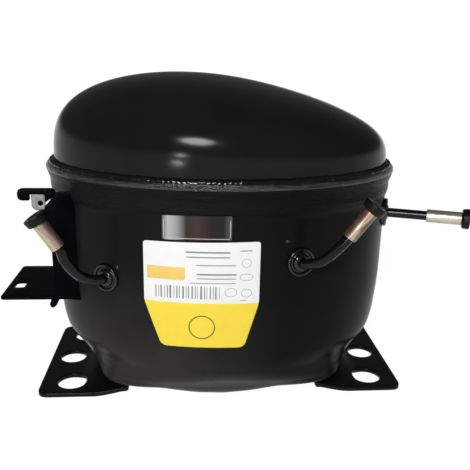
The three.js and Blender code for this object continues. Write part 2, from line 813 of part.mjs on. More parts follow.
const headBoltPlaces = [
  [-13, -13],
  [13, -13],
  [13, 13],
  [-13, 13],
];

// A plan drawn across the cylinder's axis, raised along it. The outline's axes are y and z.
function acrossCylinder(outline, from, to, holes = []) {
  const turn = new THREE.Matrix4().makeBasis(vector(0, 1, 0), vector(0, 0, 1), vector(1, 0, 0));
  return prism(outline, from, to, holes).applyMatrix4(turn.setPosition(0, 0, CYLINDER.z));
}

const facePlate = () => roundedRectangle(-CYLINDER.halfWidth, CYLINDER.halfWidth, -17, 17, 4, 3);
const boltHoles = (radius) => headBoltPlaces.map(([y, z]) => polygon(radius, 8, y, z, true));

function cylinderBlock() {
  const plan = roundedRectangle(-42, 51, -44, 44, 12, 3);
  const plate = solid(prism(plan, BLOCK.low, BLOCK.high));
  const hub = solid(rod(BLOCK.hub, BLOCK.hubLow, BLOCK.high, 20));
  const legs = postPlaces.map(([x, y]) => solid(rod(BLOCK.leg, MOTOR.high + GAP, BLOCK.low + 1, 10, x, y)));
  const bridge = solid(box(CYLINDER.start, CYLINDER.end, -17, 17, BLOCK.low, BLOCK.high + 4));
  const barrel = solid(acrossCylinder(facePlate(), CYLINDER.start, CYLINDER.end));
  const cutters = [
    solid(drill(SHAFT.radius + 0.25, 50, BLOCK.high + 1, 20)),
    solid(acrossCylinder(polygon(CYLINDER.bore, 24, 0, 0, true), CYLINDER.start - 5, CYLINDER.end + 5)),
    ...postPlaces.map(([x, y]) => solid(drill(2.7, MOTOR.high - 2, 93, 8, x, y))),
    ...boltHoles(2.1).map((hole) => solid(acrossCylinder(hole, CYLINDER.end - 14, CYLINDER.end + 2))),
  ];
  return without(joined([plate, hub, ...legs, bridge, barrel]), cutters);
}

function piston() {
  const { radius, crown, crownSheet, length, skirtBore, pin, pinX } = PISTON;
  const body = solid(acrossCylinder(polygon(radius, 24), crown - length, crown));
  const hollow = solid(acrossCylinder(polygon(skirtBore, 18), crown - length - 1, crown - crownSheet));
  const pinHole = solid(drill(pin + GAP, CYLINDER.z - 14, CYLINDER.z + 14, 12, pinX, 0));
  return without(body, [hollow, pinHole]);
}

function wristPin() {
  return rod(PISTON.pin, CYLINDER.z - 11, CYLINDER.z + 11, 12, PISTON.pinX, 0);
}

// The rod lies flat, from the big end at the crank pin to the small end at the wrist pin.
function connectingRod() {
  const low = CYLINDER.z - ROD.thickness / 2;
  const high = CYLINDER.z + ROD.thickness / 2;
  const bigX = PISTON.pinX - ROD.length;
  const eyes = [
    solid(rod(ROD.bigEnd, low, high, 22, bigX, 0)),
    solid(rod(ROD.smallEnd, low, high, 16, PISTON.pinX, 0)),
  ];
  const shank = outlineOf([
    [bigX + 9, -6],
    [PISTON.pinX - 4, -4.4],
    [PISTON.pinX - 4, 4.4],
    [bigX + 9, 6],
  ]);
  const web = solid(prism(shank, low + 2, high - 2));
  const bores = [
    solid(drill(ROD.bigBore, low - 1, high + 1, 18, bigX, 0)),
    solid(drill(PISTON.pin + GAP, low - 1, high + 1, 12, PISTON.pinX, 0)),
  ];
  return without(joined([...eyes, web]), bores);
}

// The stack on the cylinder's end face, from the suction reed to the bolt heads.
const STACK = {
  suctionReed: [CYLINDER.end + GAP, CYLINDER.end + GAP + 0.5],
  valvePlate: [CYLINDER.end + 1.1, CYLINDER.end + 5.1],
  dischargeReed: [CYLINDER.end + 5.4, CYLINDER.end + 6],
  head: [CYLINDER.end + 5.4, CYLINDER.end + 19.4],
};
const PORT = { suctionY: 5.2, dischargeY: -5.2, radius: 2.6 };

// The suction reed is a face-wide sheet with its tongue cut free on three sides.
function suctionReed() {
  const tongue = outlineOf([
    [-9, -3.6],
    [PORT.suctionY + 3.4, -3.6],
    [PORT.suctionY + 3.4, 3.6],
    [-9, 3.6],
    [-9, 4.4],
    [PORT.suctionY + 4.2, 4.4],
    [PORT.suctionY + 4.2, -4.4],
    [-9, -4.4],
  ]);
  const dischargeWay = polygon(PORT.radius - 0.4, 10, -11, 0);
  return acrossCylinder(facePlate(), ...STACK.suctionReed, [tongue, dischargeWay, ...boltHoles(2.4)]);
}

function valvePlate() {
  const ports = [PORT.suctionY, PORT.dischargeY].map((y) => polygon(PORT.radius, 14, y, 0));
  return acrossCylinder(facePlate(), ...STACK.valvePlate, [...ports, ...boltHoles(2.4)]);
}

function dischargeReed() {
  const leaf = roundedRectangle(-9.4, -2, -9, 9, 3.4, 3);
  return acrossCylinder(leaf, ...STACK.dischargeReed);
}

// The head holds a plenum for each port, open towards the valve plate.
function cylinderHead() {
  const [from, to] = STACK.head;
  const body = solid(acrossCylinder(facePlate(), from, to, boltHoles(2.4)));
  const plenum = (y0, y1) => solid(acrossCylinder(roundedRectangle(y0, y1, -10, 10, 2, 2), from - 1, to - 3));
  return without(body, [plenum(-9.8, -1.4), plenum(1.4, 9.8)]);
}

function headBolt() {
  const top = STACK.head[1] + GAP;
  const profile = [
    [0, CYLINDER.end - 12],
    [1.8, CYLINDER.end - 12],
    [1.8, top],
    [3.6, top],
    [3.6, top + 3.6],
    [0, top + 3.6],
  ];
  return turned(profile, 6).rotateY(Math.PI / 2);
}

// The suction muffler: a plastic box with an inlet snout and a neck to the head.
function suctionMuffler() {
  const plan = roundedRectangle(30, 62, 21.5, 46, 6, 4);
  const body = solid(prism(plan, BLOCK.high + GAP, 137));
  const neckPath = [vector(56, 32, 128), vector(68, 32, 128), vector(73, 28, 128), vector(73.5, CYLINDER.halfWidth + GAP, 128)];
  const neck = solid(pipe(new THREE.CatmullRomCurve3(neckPath), 4, 0, 6, 10));
  const snout = solid(pipe(new THREE.LineCurve3(vector(36, 34, 126), vector(21, 34, 126)), 4.4, 0, 1, 12));
  const mouth = solid(pipe(new THREE.LineCurve3(vector(34, 34, 126), vector(20, 34, 126)), 3, 0, 1, 12));
  return joined([body, neck, snout]).subtract(mouth);
}

// The discharge muffler: a pressed can on the block beside the cylinder.
function dischargeMuffler() {
  const profile = [
    [0, BLOCK.high + GAP],
    [13.5, BLOCK.high + GAP],
    [13.5, 121],
    [12, 125.5],
    [7, 128],
    [0, 128.5],
  ];
  return turned(profile, 18).translate(36, -32, 0);
}

// The discharge line loops down beside the motor so that the pump can move on its springs.
function dischargeLine() {
  const stubEnd = insideEnd(DISCHARGE, 8 + 2 * GAP);
  const approach = insideEnd(DISCHARGE, 11);
  const route = [
    vector(42.2, -32, 112),
    vector(48, -33, 112),
    vector(56, -34, 106),
    vector(60, -35, 94),
    vector(57, -39, 80),
    vector(49, -47, 72),
    vector(40, -53, 73),
    vector(34, -52.5, 79),
    approach,
    stubEnd,
  ];
  return pipe(new THREE.CatmullRomCurve3(route, false, "centripetal"), 1.6, 0, 24, 6);
}

class Helix extends THREE.Curve {
  getPoint(share, target = new THREE.Vector3()) {
    const angle = 2 * Math.PI * SPRING.turns * share;
    const height = SPRING.low + share * (SPRING.high - SPRING.low);
    return target.set(SPRING.radius * Math.cos(angle), SPRING.radius * Math.sin(angle), height);
  }
}

function suspensionSpring() {
  return pipe(new Helix(), SPRING.wire, 0, SPRING.turns * 8, 4);
}

// A spring seat stands on the bowl's floor, which trims its stem.
function springSeat(x, y, cavity) {
  const profile = [
    [0, 1],
    [5.2, 1],
    [5.2, 13],
    [6.4, 13.4],
    [6.4, 15.7],
    [3.6, 15.7],
    [3.6, 19],
    [2.8, 20],
    [0, 20],
  ];
  return solid(turned(profile, 10)).translate([x, y, 0]).intersect(cavity);
}

// ---------------------------------------------------------------- the assembly

const compressor = new THREE.Group();

function place(group, name, shape, material) {
  const geometry = shape.isBufferGeometry ? shape : geometryOf(shape);
  const mesh = new THREE.Mesh(geometry, material);
  mesh.name = name;
  group.add(mesh);
  return mesh;
}

const wall = outerSolid(GAP);
const cavity = cavitySolid(GAP);

// Shell, feet, fence and labels.
const stubs = { suction: SUCTION, discharge: DISCHARGE, process: PROCESS };
const wallHoles = Object.values(stubs).map((stub) => wallDrill(...stub.root, stub.tube + GAP));
const terminalHole = wallDrill(TERMINAL.x, TERMINAL.y, TERMINAL.z, TERMINAL.hole);
const bowl = outerSolid(0).subtract(cavitySolid(0));
place(compressor, "lower_shell", without(bowl, [...wallHoles, terminalHole]), blackPaint);
place(compressor, "upper_shell", upperShell(), blackPaint);
place(compressor, "seam_weld", seamWeld(), weldPaint);
place(compressor, "foot_plate_left", footPlate(-1, wall), blackPaint);
place(compressor, "foot_plate_right", footPlate(1, wall), blackPaint);
place(compressor, "terminal_fence", terminalFence(wall), matteBlack);
place(compressor, "earth_tab", earthTab(), zincPlate);
place(compressor, "rating_label", wallLabel(RATING_OUTLINE, 0.4), labelPaper);
place(compressor, "serial_label", wallLabel(SERIAL_OUTLINE, 0.4), clearLabel);

// The terminal, in a group that stands on the wall.
const terminal = new THREE.Group();
terminal.applyMatrix4(wallFrame(TERMINAL.x, TERMINAL.y, TERMINAL.z));
compressor.add(terminal);
place(terminal, "terminal_body", terminalBody(), groundSteel);
place(terminal, "terminal_glass", terminalGlass(), sealingGlass);
pinPlaces.forEach(([x, y], i) => {
  const pin = place(terminal, `terminal_pin_${i + 1}`, rod(TERMINAL.pin, -14, 8, 8), groundSteel);
  pin.position.set(x, y, 0);
});

// The pipe stubs, each with its sleeve and plug in a group along the sleeve.
for (const [name, stub] of Object.entries(stubs)) {
  place(compressor, `${name}_collar`, stubCollar(stub, wall), weldPaint);
  place(compressor, `${name}_tube`, stubTube(stub), blackPaint);
  const end = new THREE.Group();
  end.applyMatrix4(sleeveFrame(stub));
  compressor.add(end);
  place(end, `${name}_sleeve`, stubSleeve(stub), copper);
  place(end, `${name}_plug`, stubPlug(stub), blackRubber);
}

// The motor and pump, in a group on the crank axis.
const pump = new THREE.Group();
pump.position.x = CRANK_X;
compressor.add(pump);
place(pump, "stator_core", statorCore(), lamination);
place(pump, "stator_winding", statorWinding(), magnetWire);
place(pump, "rotor_core", rotorCore(), lamination);
place(pump, "rotor_cage", rotorCage(), castAluminium);
place(pump, "crankshaft", crankshaft(), castIron);
place(pump, "oil_pickup", oilPickup(), groundSteel);
place(pump, "cylinder_block", cylinderBlock(), castIron);
place(pump, "piston", piston(), groundSteel);
place(pump, "wrist_pin", wristPin(), groundSteel);
place(pump, "connecting_rod", connectingRod(), castAluminium);
place(pump, "suction_reed", suctionReed(), springSteel);
place(pump, "valve_plate", valvePlate(), groundSteel);
place(pump, "discharge_reed", dischargeReed(), springSteel);
place(pump, "cylinder_head", cylinderHead(), castAluminium);
place(pump, "suction_muffler", suctionMuffler(), whitePlastic);
place(pump, "discharge_muffler", dischargeMuffler(), groundSteel);
headBoltPlaces.forEach(([y, z], i) => {
  const bolt = place(pump, `head_bolt_${i + 1}`, headBolt(), groundSteel);
  bolt.position.set(0, y, CYLINDER.z + z);
});
postPlaces.forEach(([x, y], i) => {
  const bolt = place(pump, `stator_bolt_${i + 1}`, statorBolt(), groundSteel);
  bolt.position.set(x, y, 0);
  const spring = place(pump, `suspension_spring_${i + 1}`, suspensionSpring(), springSteel);
  spring.position.set(x, y, 0);
  place(compressor, `spring_seat_${i + 1}`, springSeat(x + CRANK_X, y, cavity), blackPaint);
});
place(compressor, "discharge_line", dischargeLine(), copper);

// The origin is under the middle of the whole piece.
const root = new THREE.Group();
root.add(compressor);
const bounds = new THREE.Box3().setFromObject(root);
const middle = bounds.getCenter(new THREE.Vector3());
compressor.position.set(-middle.x, -middle.y, -bounds.min.z);

export default root;
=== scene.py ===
"""Looks of a small hermetic compressor: black enamelled shell, feet, pipe stubs, bracket and labels,
with every piece of the motor and pump inside it. Lengths are written in millimetres and made metres."""

import json

import bmesh
import bpy
import numpy as np
from mathutils import Matrix, Vector
from mathutils.geometry import delaunay_2d_cdt


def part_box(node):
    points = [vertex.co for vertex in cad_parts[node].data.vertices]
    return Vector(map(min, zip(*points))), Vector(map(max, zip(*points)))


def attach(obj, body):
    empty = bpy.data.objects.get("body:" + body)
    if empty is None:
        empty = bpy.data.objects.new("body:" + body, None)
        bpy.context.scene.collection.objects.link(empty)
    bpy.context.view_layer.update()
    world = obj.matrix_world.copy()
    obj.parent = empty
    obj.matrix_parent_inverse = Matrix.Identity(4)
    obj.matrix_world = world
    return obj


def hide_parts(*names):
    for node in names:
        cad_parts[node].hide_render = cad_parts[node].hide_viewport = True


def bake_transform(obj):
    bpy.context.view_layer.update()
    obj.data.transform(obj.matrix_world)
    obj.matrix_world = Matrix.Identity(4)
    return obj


MM = 0.001
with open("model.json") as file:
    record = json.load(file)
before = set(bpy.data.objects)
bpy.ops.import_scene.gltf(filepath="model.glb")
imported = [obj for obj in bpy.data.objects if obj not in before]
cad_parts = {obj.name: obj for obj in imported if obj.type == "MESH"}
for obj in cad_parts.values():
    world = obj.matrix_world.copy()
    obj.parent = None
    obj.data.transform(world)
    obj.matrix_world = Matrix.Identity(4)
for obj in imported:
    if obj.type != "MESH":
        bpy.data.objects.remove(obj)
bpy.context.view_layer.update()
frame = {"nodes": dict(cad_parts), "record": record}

# ---------------------------------------------------------------- the frame's own places

shell_low, shell_high = (np.array(corner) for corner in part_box("lower_shell"))
dome_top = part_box("upper_shell")[1][2] / MM
CENTRE = np.array([(shell_low[0] + shell_high[0]) / 2, (shell_low[1] + shell_high[1]) / 2, 0.0])


def placed(points):
    """Points in millimetres from the shell's centre on the ground, as metres in the frame."""
    return np.asarray(points, float) * MM + CENTRE


# ---------------------------------------------------------------- the shell's form, in millimetres

WALL_A, WALL_B = 93.8, 68.4
SHEET = 2.8
# the bowl's rings: height, half-sizes along x and y, and the power of the curve round it
BOWL = np.array([
    (5.8, 60.0, 41.0, 4.4),
    (6.3, 65.5, 45.5, 4.8),
    (8.2, 69.0, 49.2, 4.6),
    (12.0, 72.0, 53.5, 3.4),
    (18.0, 77.0, 60.0, 2.4),
    (25.0, 84.5, 64.3, 2.0),
    (34.0, 90.5, 66.2, 2.0),
    (46.0, 92.5, 67.1, 2.0),
    (68.0, 93.8, 68.4, 2.0),
    (107.7, 93.8, 68.4, 2.0),
    (112.3, 95.15, 69.75, 2.0),
])
DISH = dict(x=1.0, a=50.0, b=51.0, bottom=0.8, depth=5.0)
DOME_BASE, DOME_A, DOME_B = 126.0, 92.55, 67.5
DOME_HEIGHT, DOME_LEAN, DOME_SAG = 45.8, 10.556, 3.476
DOME_RISE, CROWN_DROP = 47.0, 0.04
DOME_PLAN, DOME_POWER = 1.855, 3.201
TURNS = 288


def angles(count=TURNS):
    """A full turn in equal steps, with both ends."""
    return np.linspace(0, 2 * np.pi, count + 1)


def eased(at, places, values):
    """A curve through the values with no overshoot: cubics, their slopes harmonic means of the sides."""
    at = np.clip(np.asarray(at, float), places[0], places[-1])
    width = np.diff(places)
    slope = np.diff(values) / width
    before, after = slope[:-1], slope[1:]
    same_way = before * after > 0
    mean = np.where(same_way, 2 * before * after / np.where(same_way, before + after, 1), 0)
    tangent = np.concatenate([[slope[0]], mean, [slope[-1]]])
    k = np.clip(np.searchsorted(places, at, side="right") - 1, 0, len(width) - 1)
    t = (at - places[k]) / width[k]
    rise = values[k] * (1 + 2 * t) * (1 - t) ** 2 + values[k + 1] * t**2 * (3 - 2 * t)
    return rise + width[k] * (tangent[k] * t * (1 - t) ** 2 + tangent[k + 1] * t**2 * (t - 1))


def wall_sizes(z):
    """The wall's half-sizes at a height."""
    return eased(z, BOWL[:, 0], BOWL[:, 1]), eased(z, BOWL[:, 0], BOWL[:, 2])


def wall_point(x, z, proud):
    """The place on the front wall at x and z: the ellipse's near side, moved out along its normal."""
    a, b = wall_sizes(z)
    y = -b * np.sqrt(1 - (x / a) ** 2)
    normal = np.stack([x / a**2, y / b**2], -1)
    normal /= np.linalg.norm(normal, axis=-1, keepdims=True)
    return np.stack([x + normal[..., 0] * proud, y + normal[..., 1] * proud, z + 0 * x], -1)


def wall_normal(x, y):
    """The level direction out of the wall at x and y."""
    out = np.array([x / WALL_A**2, y / WALL_B**2, 0.0])
    return out / np.linalg.norm(out)


# ---------------------------------------------------------------- meshes from arrays


def finished(name, vertices, faces, body, replaces=(), materials=(), sharp=35):
    """A mesh object from vertices in millimetres and faces, with doubles merged and faces turned out."""
    mesh = bpy.data.meshes.new(name)
    mesh.from_pydata(placed(vertices).tolist(), [], faces)
    mesh.validate()
    return dressed(name, mesh, body, replaces, materials, sharp)


def dressed(name, mesh, body, replaces, materials, sharp):
    """Merges and orients a mesh, shades it smooth up to an angle, and puts it on its body, if it has one."""
    work = bmesh.new()
    work.from_mesh(mesh)
    bmesh.ops.remove_doubles(work, verts=work.verts, dist=2e-6)
    bmesh.ops.dissolve_degenerate(work, edges=work.edges, dist=1e-6)
    bmesh.ops.recalc_face_normals(work, faces=work.faces)
    work.to_mesh(mesh)
    work.free()
    mesh.polygons.foreach_set("use_smooth", [True] * len(mesh.polygons))
    mesh.set_sharp_from_angle(angle=np.radians(sharp))
    for material in materials:
        mesh.materials.append(material)
    piece = bpy.data.objects.new(name, mesh)
    bpy.context.scene.collection.objects.link(piece)
    if body is not None:
        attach(piece, body)
    if replaces:
        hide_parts(*replaces)
    return piece


def grid_faces(rows, columns):
    """Quads between neighbouring points of a grid stored row by row."""
    low = (np.arange(rows - 1)[:, None] * columns + np.arange(columns - 1)[None, :]).ravel()
    return np.stack([low, low + 1, low + columns + 1, low + columns], -1)


def gridded(name, grid, body, **looks):
    """A surface whose points are an array of rows and columns."""
    rows, columns = grid.shape[:2]
    return finished(name, grid.reshape(-1, 3), grid_faces(rows, columns).tolist(), body, **looks)


def elliptical(a, b, z):
    """Rings of ellipses: one row per pair of half-sizes and height, the angle running along it."""
    turn = angles()[None, :]
    x, y = a[:, None] * np.cos(turn), b[:, None] * np.sin(turn)
    return np.stack([x, y, z[:, None] + 0 * x], -1)


def axis_frame(origin, along):
    """Three columns: two sides and the axis, with its start."""
    along = np.asarray(along, float)
    along = along / np.linalg.norm(along)
    side = np.cross([0, 0, 1] if abs(along[2]) < 0.95 else [0, 1, 0], along)
    side /= np.linalg.norm(side)
    return np.asarray(origin, float), np.stack([side, np.cross(along, side), along], -1)


def turned(profile, origin, along, count=72):
    """A profile of radius and height carried round an axis."""
    start, basis = axis_frame(origin, along)
    radius, height = np.asarray(profile, float).T
    turn = angles(count)[None, :]
    radius, height = radius[:, None], height[:, None]
    local = np.stack([radius * np.cos(turn), radius * np.sin(turn), height + 0 * turn], -1)
    return start + local @ basis.T


def rounded_corner(before, corner, after, radius, limit, share):
    """A quadratic curve in place of a corner: it starts and ends a radius away, or a share of the side."""
    ends = []
    for other in (before, after):
        side = np.linalg.norm(other - corner)
        ends.append(corner + (other - corner) / side * min(radius, limit * side))
    start, end = ends
    return start * (1 - share) ** 2 + corner * 2 * share * (1 - share) + end * share**2


def arc_profile(corners, radius, steps=5):
    """A polyline whose inner corners are rounded by quadratic curves that start a radius away."""
    corners = np.asarray(corners, float)
    points = [corners[0]]
    share = np.linspace(0, 1, steps)[:, None]
    for before, corner, after in zip(corners[:-2], corners[1:-1], corners[2:]):
        points.extend(rounded_corner(before, corner, after, radius, 0.45, share))
    points.append(corners[-1])
    return np.array(points)


def travelled(line):
    """The distance along a line to each of its points."""
    return np.concatenate([[0], np.cumsum(np.linalg.norm(np.diff(line, axis=0), axis=1))])


def at_distances(line, where):
    """The points of a line at given distances along it."""
    length = travelled(line)
    return np.stack([np.interp(where, length, line[:, k]) for k in range(line.shape[1])], -1)


def smooth_path(knots, count):
    """A centripetal Catmull-Rom curve through the knots, with equal steps along its length."""
    knots = np.asarray(knots, float)
    knots = np.vstack([2 * knots[0] - knots[1], knots, 2 * knots[-1] - knots[-2]])
    pieces = []
    for p0, p1, p2, p3 in zip(knots[:-3], knots[1:-2], knots[2:-1], knots[3:]):
        t1 = np.linalg.norm(p1 - p0) ** 0.5
        t2 = t1 + np.linalg.norm(p2 - p1) ** 0.5
        t3 = t2 + np.linalg.norm(p3 - p2) ** 0.5
        t = np.linspace(t1, t2, 24, endpoint=False)[:, None]
        a1 = (t1 - t) / t1 * p0 + t / t1 * p1
        a2 = (t2 - t) / (t2 - t1) * p1 + (t - t1) / (t2 - t1) * p2
        a3 = (t3 - t) / (t3 - t2) * p2 + (t - t2) / (t3 - t2) * p3
        b1 = (t2 - t) / t2 * a1 + t / t2 * a2
        b2 = (t3 - t) / (t3 - t1) * a2 + (t - t1) / (t3 - t1) * a3
        pieces.append((t2 - t) / (t2 - t1) * b1 + (t - t1) / (t2 - t1) * b2)
    line = np.vstack([*pieces, knots[-2][None]])
    return at_distances(line, np.linspace(0, travelled(line)[-1], count))


def swept(path, radius, count=40):
    """A circle carried along a path on frames turned as little as possible, closed at both ends."""
    tangent = np.gradient(path, axis=0)
    tangent /= np.linalg.norm(tangent, axis=1, keepdims=True)
    side = np.cross(tangent[0], [0.3, 0.1, 1.0])
    sides = []
    for direction in tangent:
        side = side - direction * np.dot(side, direction)
        side = side / np.linalg.norm(side)
        sides.append(side)
    sides = np.array(sides)
    ups = np.cross(tangent, sides)
    turn = angles(count)
    ring = sides[:, None, :] * np.cos(turn)[None, :, None] + ups[:, None, :] * np.sin(turn)[None, :, None]
    grid = path[:, None, :] + ring * radius
    start = np.repeat(path[:1, None, :], count + 1, axis=1)
    end = np.repeat(path[-1:, None, :], count + 1, axis=1)
    return np.concatenate([start, grid, end])


# ---------------------------------------------------------------- plates from outlines


def loop_of(corners, radius, steps=8):
    """A closed outline with every corner rounded by a curve, its points about evenly spaced."""
    corners = np.asarray(corners, float)
    radii = np.broadcast_to(radius, len(corners))
    share = np.linspace(0, 1, steps)[:, None]
    points = []
    for k, corner in enumerate(corners):
        before, after = corners[k - 1], corners[(k + 1) % len(corners)]
        points.append(rounded_corner(before, corner, after, radii[k], 0.48, share))
    return np.vstack(points)


def ring_of(x, y, radius, count=48):
    """A closed circle of points."""
    turn = angles(count)[:-1]
    return np.stack([x + radius * np.cos(turn), y + radius * np.sin(turn)], -1)


def evened(loop, step):
    """The loop with points at equal steps along it, its sharp corners kept by the fine spacing."""
    closed = np.vstack([loop, loop[:1]])
    length = travelled(closed)[-1]
    count = max(int(round(length / step)), 12)
    return at_distances(closed, np.linspace(0, length, count, endpoint=False))


def signed_area(loop):
    """The loop's area, above zero when it runs anticlockwise."""
    x, y = loop.T
    return 0.5 * np.sum(x * np.roll(y, -1) - y * np.roll(x, -1))


def outward(loop):
    """The unit normals of a loop, to its right when it runs anticlockwise."""
    along = np.roll(loop, -1, axis=0) - np.roll(loop, 1, axis=0)
    normal = np.stack([along[:, 1], -along[:, 0]], -1)
    normal /= np.linalg.norm(normal, axis=1, keepdims=True) + 1e-12
    return normal * np.sign(signed_area(loop))


def inside(points, loop):
    """Whether each point lies in the loop, by counting the edges that a ray to the right crosses."""
    x, y = points[:, 0][:, None], points[:, 1][:, None]
    x0, y0 = loop.T
    x1, y1 = np.roll(loop, -1, axis=0).T
    crosses = (y0 > y) != (y1 > y)
    with np.errstate(divide="ignore", invalid="ignore"):
        at = (x1 - x0) * (y - y0) / (y1 - y0) + x0
    return (crosses & (x < at)).sum(axis=1) % 2 == 1


def plate(outline, holes, thickness, edge, step, fill, lift=None):
    """Vertices and faces of a sheet: two faces over the plan, and a round edge carried along each loop."""
    lift = lift or (lambda x, y: 0 * x)
    loops = [evened(outline, step)] + [evened(hole, min(step, 1.2)) for hole in holes]
    turn_in = [1.0] + [-1.0] * len(holes)
    normals = [outward(loop) * way for loop, way in zip(loops, turn_in)]
    inner = [loop - normal * edge for loop, normal in zip(loops, normals)]
    low, high = inner[0].min(axis=0), inner[0].max(axis=0)
    across = [np.arange(low[k] + fill / 2, high[k], fill) for k in range(2)]
    mesh_grid = np.stack(np.meshgrid(*across, indexing="ij"), -1).reshape(-1, 2)
    keep = inside(mesh_grid, inner[0])
    for hole in inner[1:]:
        keep &= ~inside(mesh_grid, hole)
    border = np.vstack(inner)
    gap = np.linalg.norm(mesh_grid[:, None, :] - border[None, :, :], axis=2).min(axis=1)
    seeds = mesh_grid[keep & (gap > 0.5 * fill)]
    starts = np.cumsum([0] + [len(loop) for loop in inner])
    edges = []
    for start, loop in zip(starts, inner):
        edges += [(int(start + k), int(start + (k + 1) % len(loop))) for k in range(len(loop))]
    flat = [Vector(point) for point in np.vstack([border, seeds])]
    made, _, triangles, *_ = delaunay_2d_cdt(flat, edges, [], 0, 1e-5)
    plan = np.array([tuple(point) for point in made])
    triangles = np.array([list(triangle) for triangle in triangles])
    middle = plan[triangles].mean(axis=1)
    wanted = inside(middle, inner[0])
    for hole in inner[1:]:
        wanted &= ~inside(middle, hole)
    triangles = triangles[wanted]
    raised = lift(plan[:, 0], plan[:, 1])
    top = np.column_stack([plan, raised + thickness])
    bottom = np.column_stack([plan, raised])
    vertices = [top, bottom]
    faces = triangles.tolist() + (triangles[:, ::-1] + len(plan)).tolist()
    offset = 2 * len(plan)
    bend = np.linspace(np.pi / 2, -np.pi / 2, 9)
    for loop, normal in zip(inner, normals):
        reach = edge * np.cos(bend)
        height = np.where(bend > 0, thickness - edge, edge) + edge * np.sin(bend)
        closed = np.vstack([loop, loop[:1]])
        push = np.vstack([normal, normal[:1]])
        flat_points = closed[None, :, :] + push[None, :, :] * reach[:, None, None]
        base = lift(closed[:, 0], closed[:, 1])[None, :] + height[:, None]
        grid = np.concatenate([flat_points, base[..., None]], -1)
        vertices.append(grid.reshape(-1, 3))
        faces += (grid_faces(*grid.shape[:2]) + offset).tolist()
        offset += grid.shape[0] * grid.shape[1]
    return np.vstack(vertices), faces


def upright(vertices, front):
    """A plan drawn in x and z, raised towards the back from a front depth."""
    return np.stack([vertices[:, 0], front + vertices[:, 2], vertices[:, 1]], -1)


def joined(parts):
    """Several vertex and face lists as one."""
    vertices, faces, offset = [], [], 0
    for points, quads in parts:
        vertices.append(points)
        faces += [[index + offset for index in face] for face in quads]
        offset += len(points)
    return np.vstack(vertices), faces


# ---------------------------------------------------------------- materials


def joined_math(nodes, links, operation, first, second):
    """A math node over two sockets."""
    node = nodes.new("ShaderNodeMath")
    node.operation = operation
    links.new(first, node.inputs[0])
    links.new(second, node.inputs[1])
    return node.outputs[0]


def ranged(nodes, links, source, low, high, to_low, to_high):
    """A node that maps the source's range onto another."""
    change = nodes.new("ShaderNodeMapRange")
    for socket, value in zip(("From Min", "From Max", "To Min", "To Max"), (low, high, to_low, to_high)):
        change.inputs[socket].default_value = value
    links.new(source, change.inputs["Value"])
    return change


class Finish:
    """A small builder for a material's nodes."""

    def __init__(self, name, color, roughness, metallic=0.0, **sockets):
        """Starts the material with plain values, and any other socket of the shader by its name."""
        self.material = bpy.data.materials.new(name)
        self.material.use_nodes = True
        self.nodes = self.material.node_tree.nodes
        self.links = self.material.node_tree.links
        self.shader = self.nodes["Principled BSDF"]
        self.shader.inputs["Base Color"].default_value = (*color, 1)
        self.shader.inputs["Roughness"].default_value = roughness
        self.shader.inputs["Metallic"].default_value = metallic
        for socket, value in sockets.items():
            self.shader.inputs[socket.replace("_", " ")].default_value = value
        self.where = self.nodes.new("ShaderNodeTexCoord").outputs["Object"]
        self.normal = None

    def noise(self, scale, detail=3.0, stretch=(1, 1, 1), rough=0.5):
        """Noise over the object's own coordinates, stretched along an axis where asked."""
        mapping = self.nodes.new("ShaderNodeMapping")
        mapping.inputs["Scale"].default_value = stretch
        self.links.new(self.where, mapping.inputs["Vector"])
        texture = self.nodes.new("ShaderNodeTexNoise")
        texture.inputs["Scale"].default_value = scale
        texture.inputs["Detail"].default_value = detail
        texture.inputs["Roughness"].default_value = rough
        self.links.new(mapping.outputs["Vector"], texture.inputs["Vector"])
        return texture.outputs["Fac"]

    def ramp(self, source, stops):
        """A colour for each value of the source."""
        ramp = self.nodes.new("ShaderNodeValToRGB")
        elements = ramp.color_ramp.elements
        while len(elements) < len(stops):
            elements.new(0.5)
        for element, (place, color) in zip(elements, stops):
            element.position = place
            element.color = (*color, 1)
        self.links.new(source, ramp.inputs["Fac"])
        return ramp.outputs["Color"]

    def remap(self, source, low, high, to_low, to_high):
        """The source's range mapped onto another."""
        return ranged(self.nodes, self.links, source, low, high, to_low, to_high).outputs["Result"]

    def place(self, axis):
        """The place along an axis, in metres in the frame."""
        split = self.nodes.new("ShaderNodeSeparateXYZ")
        self.links.new(self.where, split.inputs[0])
        return split.outputs[axis]

    def math(self, operation, first, second):
        """A math node over two of the finish's own sockets."""
        return joined_math(self.nodes, self.links, operation, first, second)

    def color(self, output):
        """The base colour, from a socket."""
        self.links.new(output, self.shader.inputs["Base Color"])

    def roughness(self, output):
        """The roughness, from a socket."""
        self.links.new(output, self.shader.inputs["Roughness"])

    def mottled(self, scale, detail, color, dark, light):
        """Clouds of a colour between a dark and a light multiple of it."""
        stops = [(0.3, [c * dark for c in color]), (0.7, [min(c * light, 1) for c in color])]
        self.color(self.ramp(self.noise(scale, detail), stops))

    def bump(self, output, distance, strength=1.0):
        """Adds relief of a height in metres to what is there."""
        node = self.nodes.new("ShaderNodeBump")
        node.inputs["Distance"].default_value = distance
        node.inputs["Strength"].default_value = strength
        self.links.new(output, node.inputs["Height"])
        if self.normal is not None:
            self.links.new(self.normal, node.inputs["Normal"])
        self.normal = node.outputs["Normal"]
        self.links.new(self.normal, self.shader.inputs["Normal"])


def streaked(finish):
    """Fine streaks round the shell, from the shoulder up: paint that has run over a spun sheet."""
    shoulder_low, shoulder_high = 106 * MM, 111 * MM
    above = finish.remap(finish.place("Z"), shoulder_low, shoulder_high, 0.0, 1.0)
    streaks = finish.noise(34, 5, (1, 1, 16), 0.65)
    finish.bump(finish.math("MULTIPLY", streaks, above), 0.0014, 1.0)
    return finish


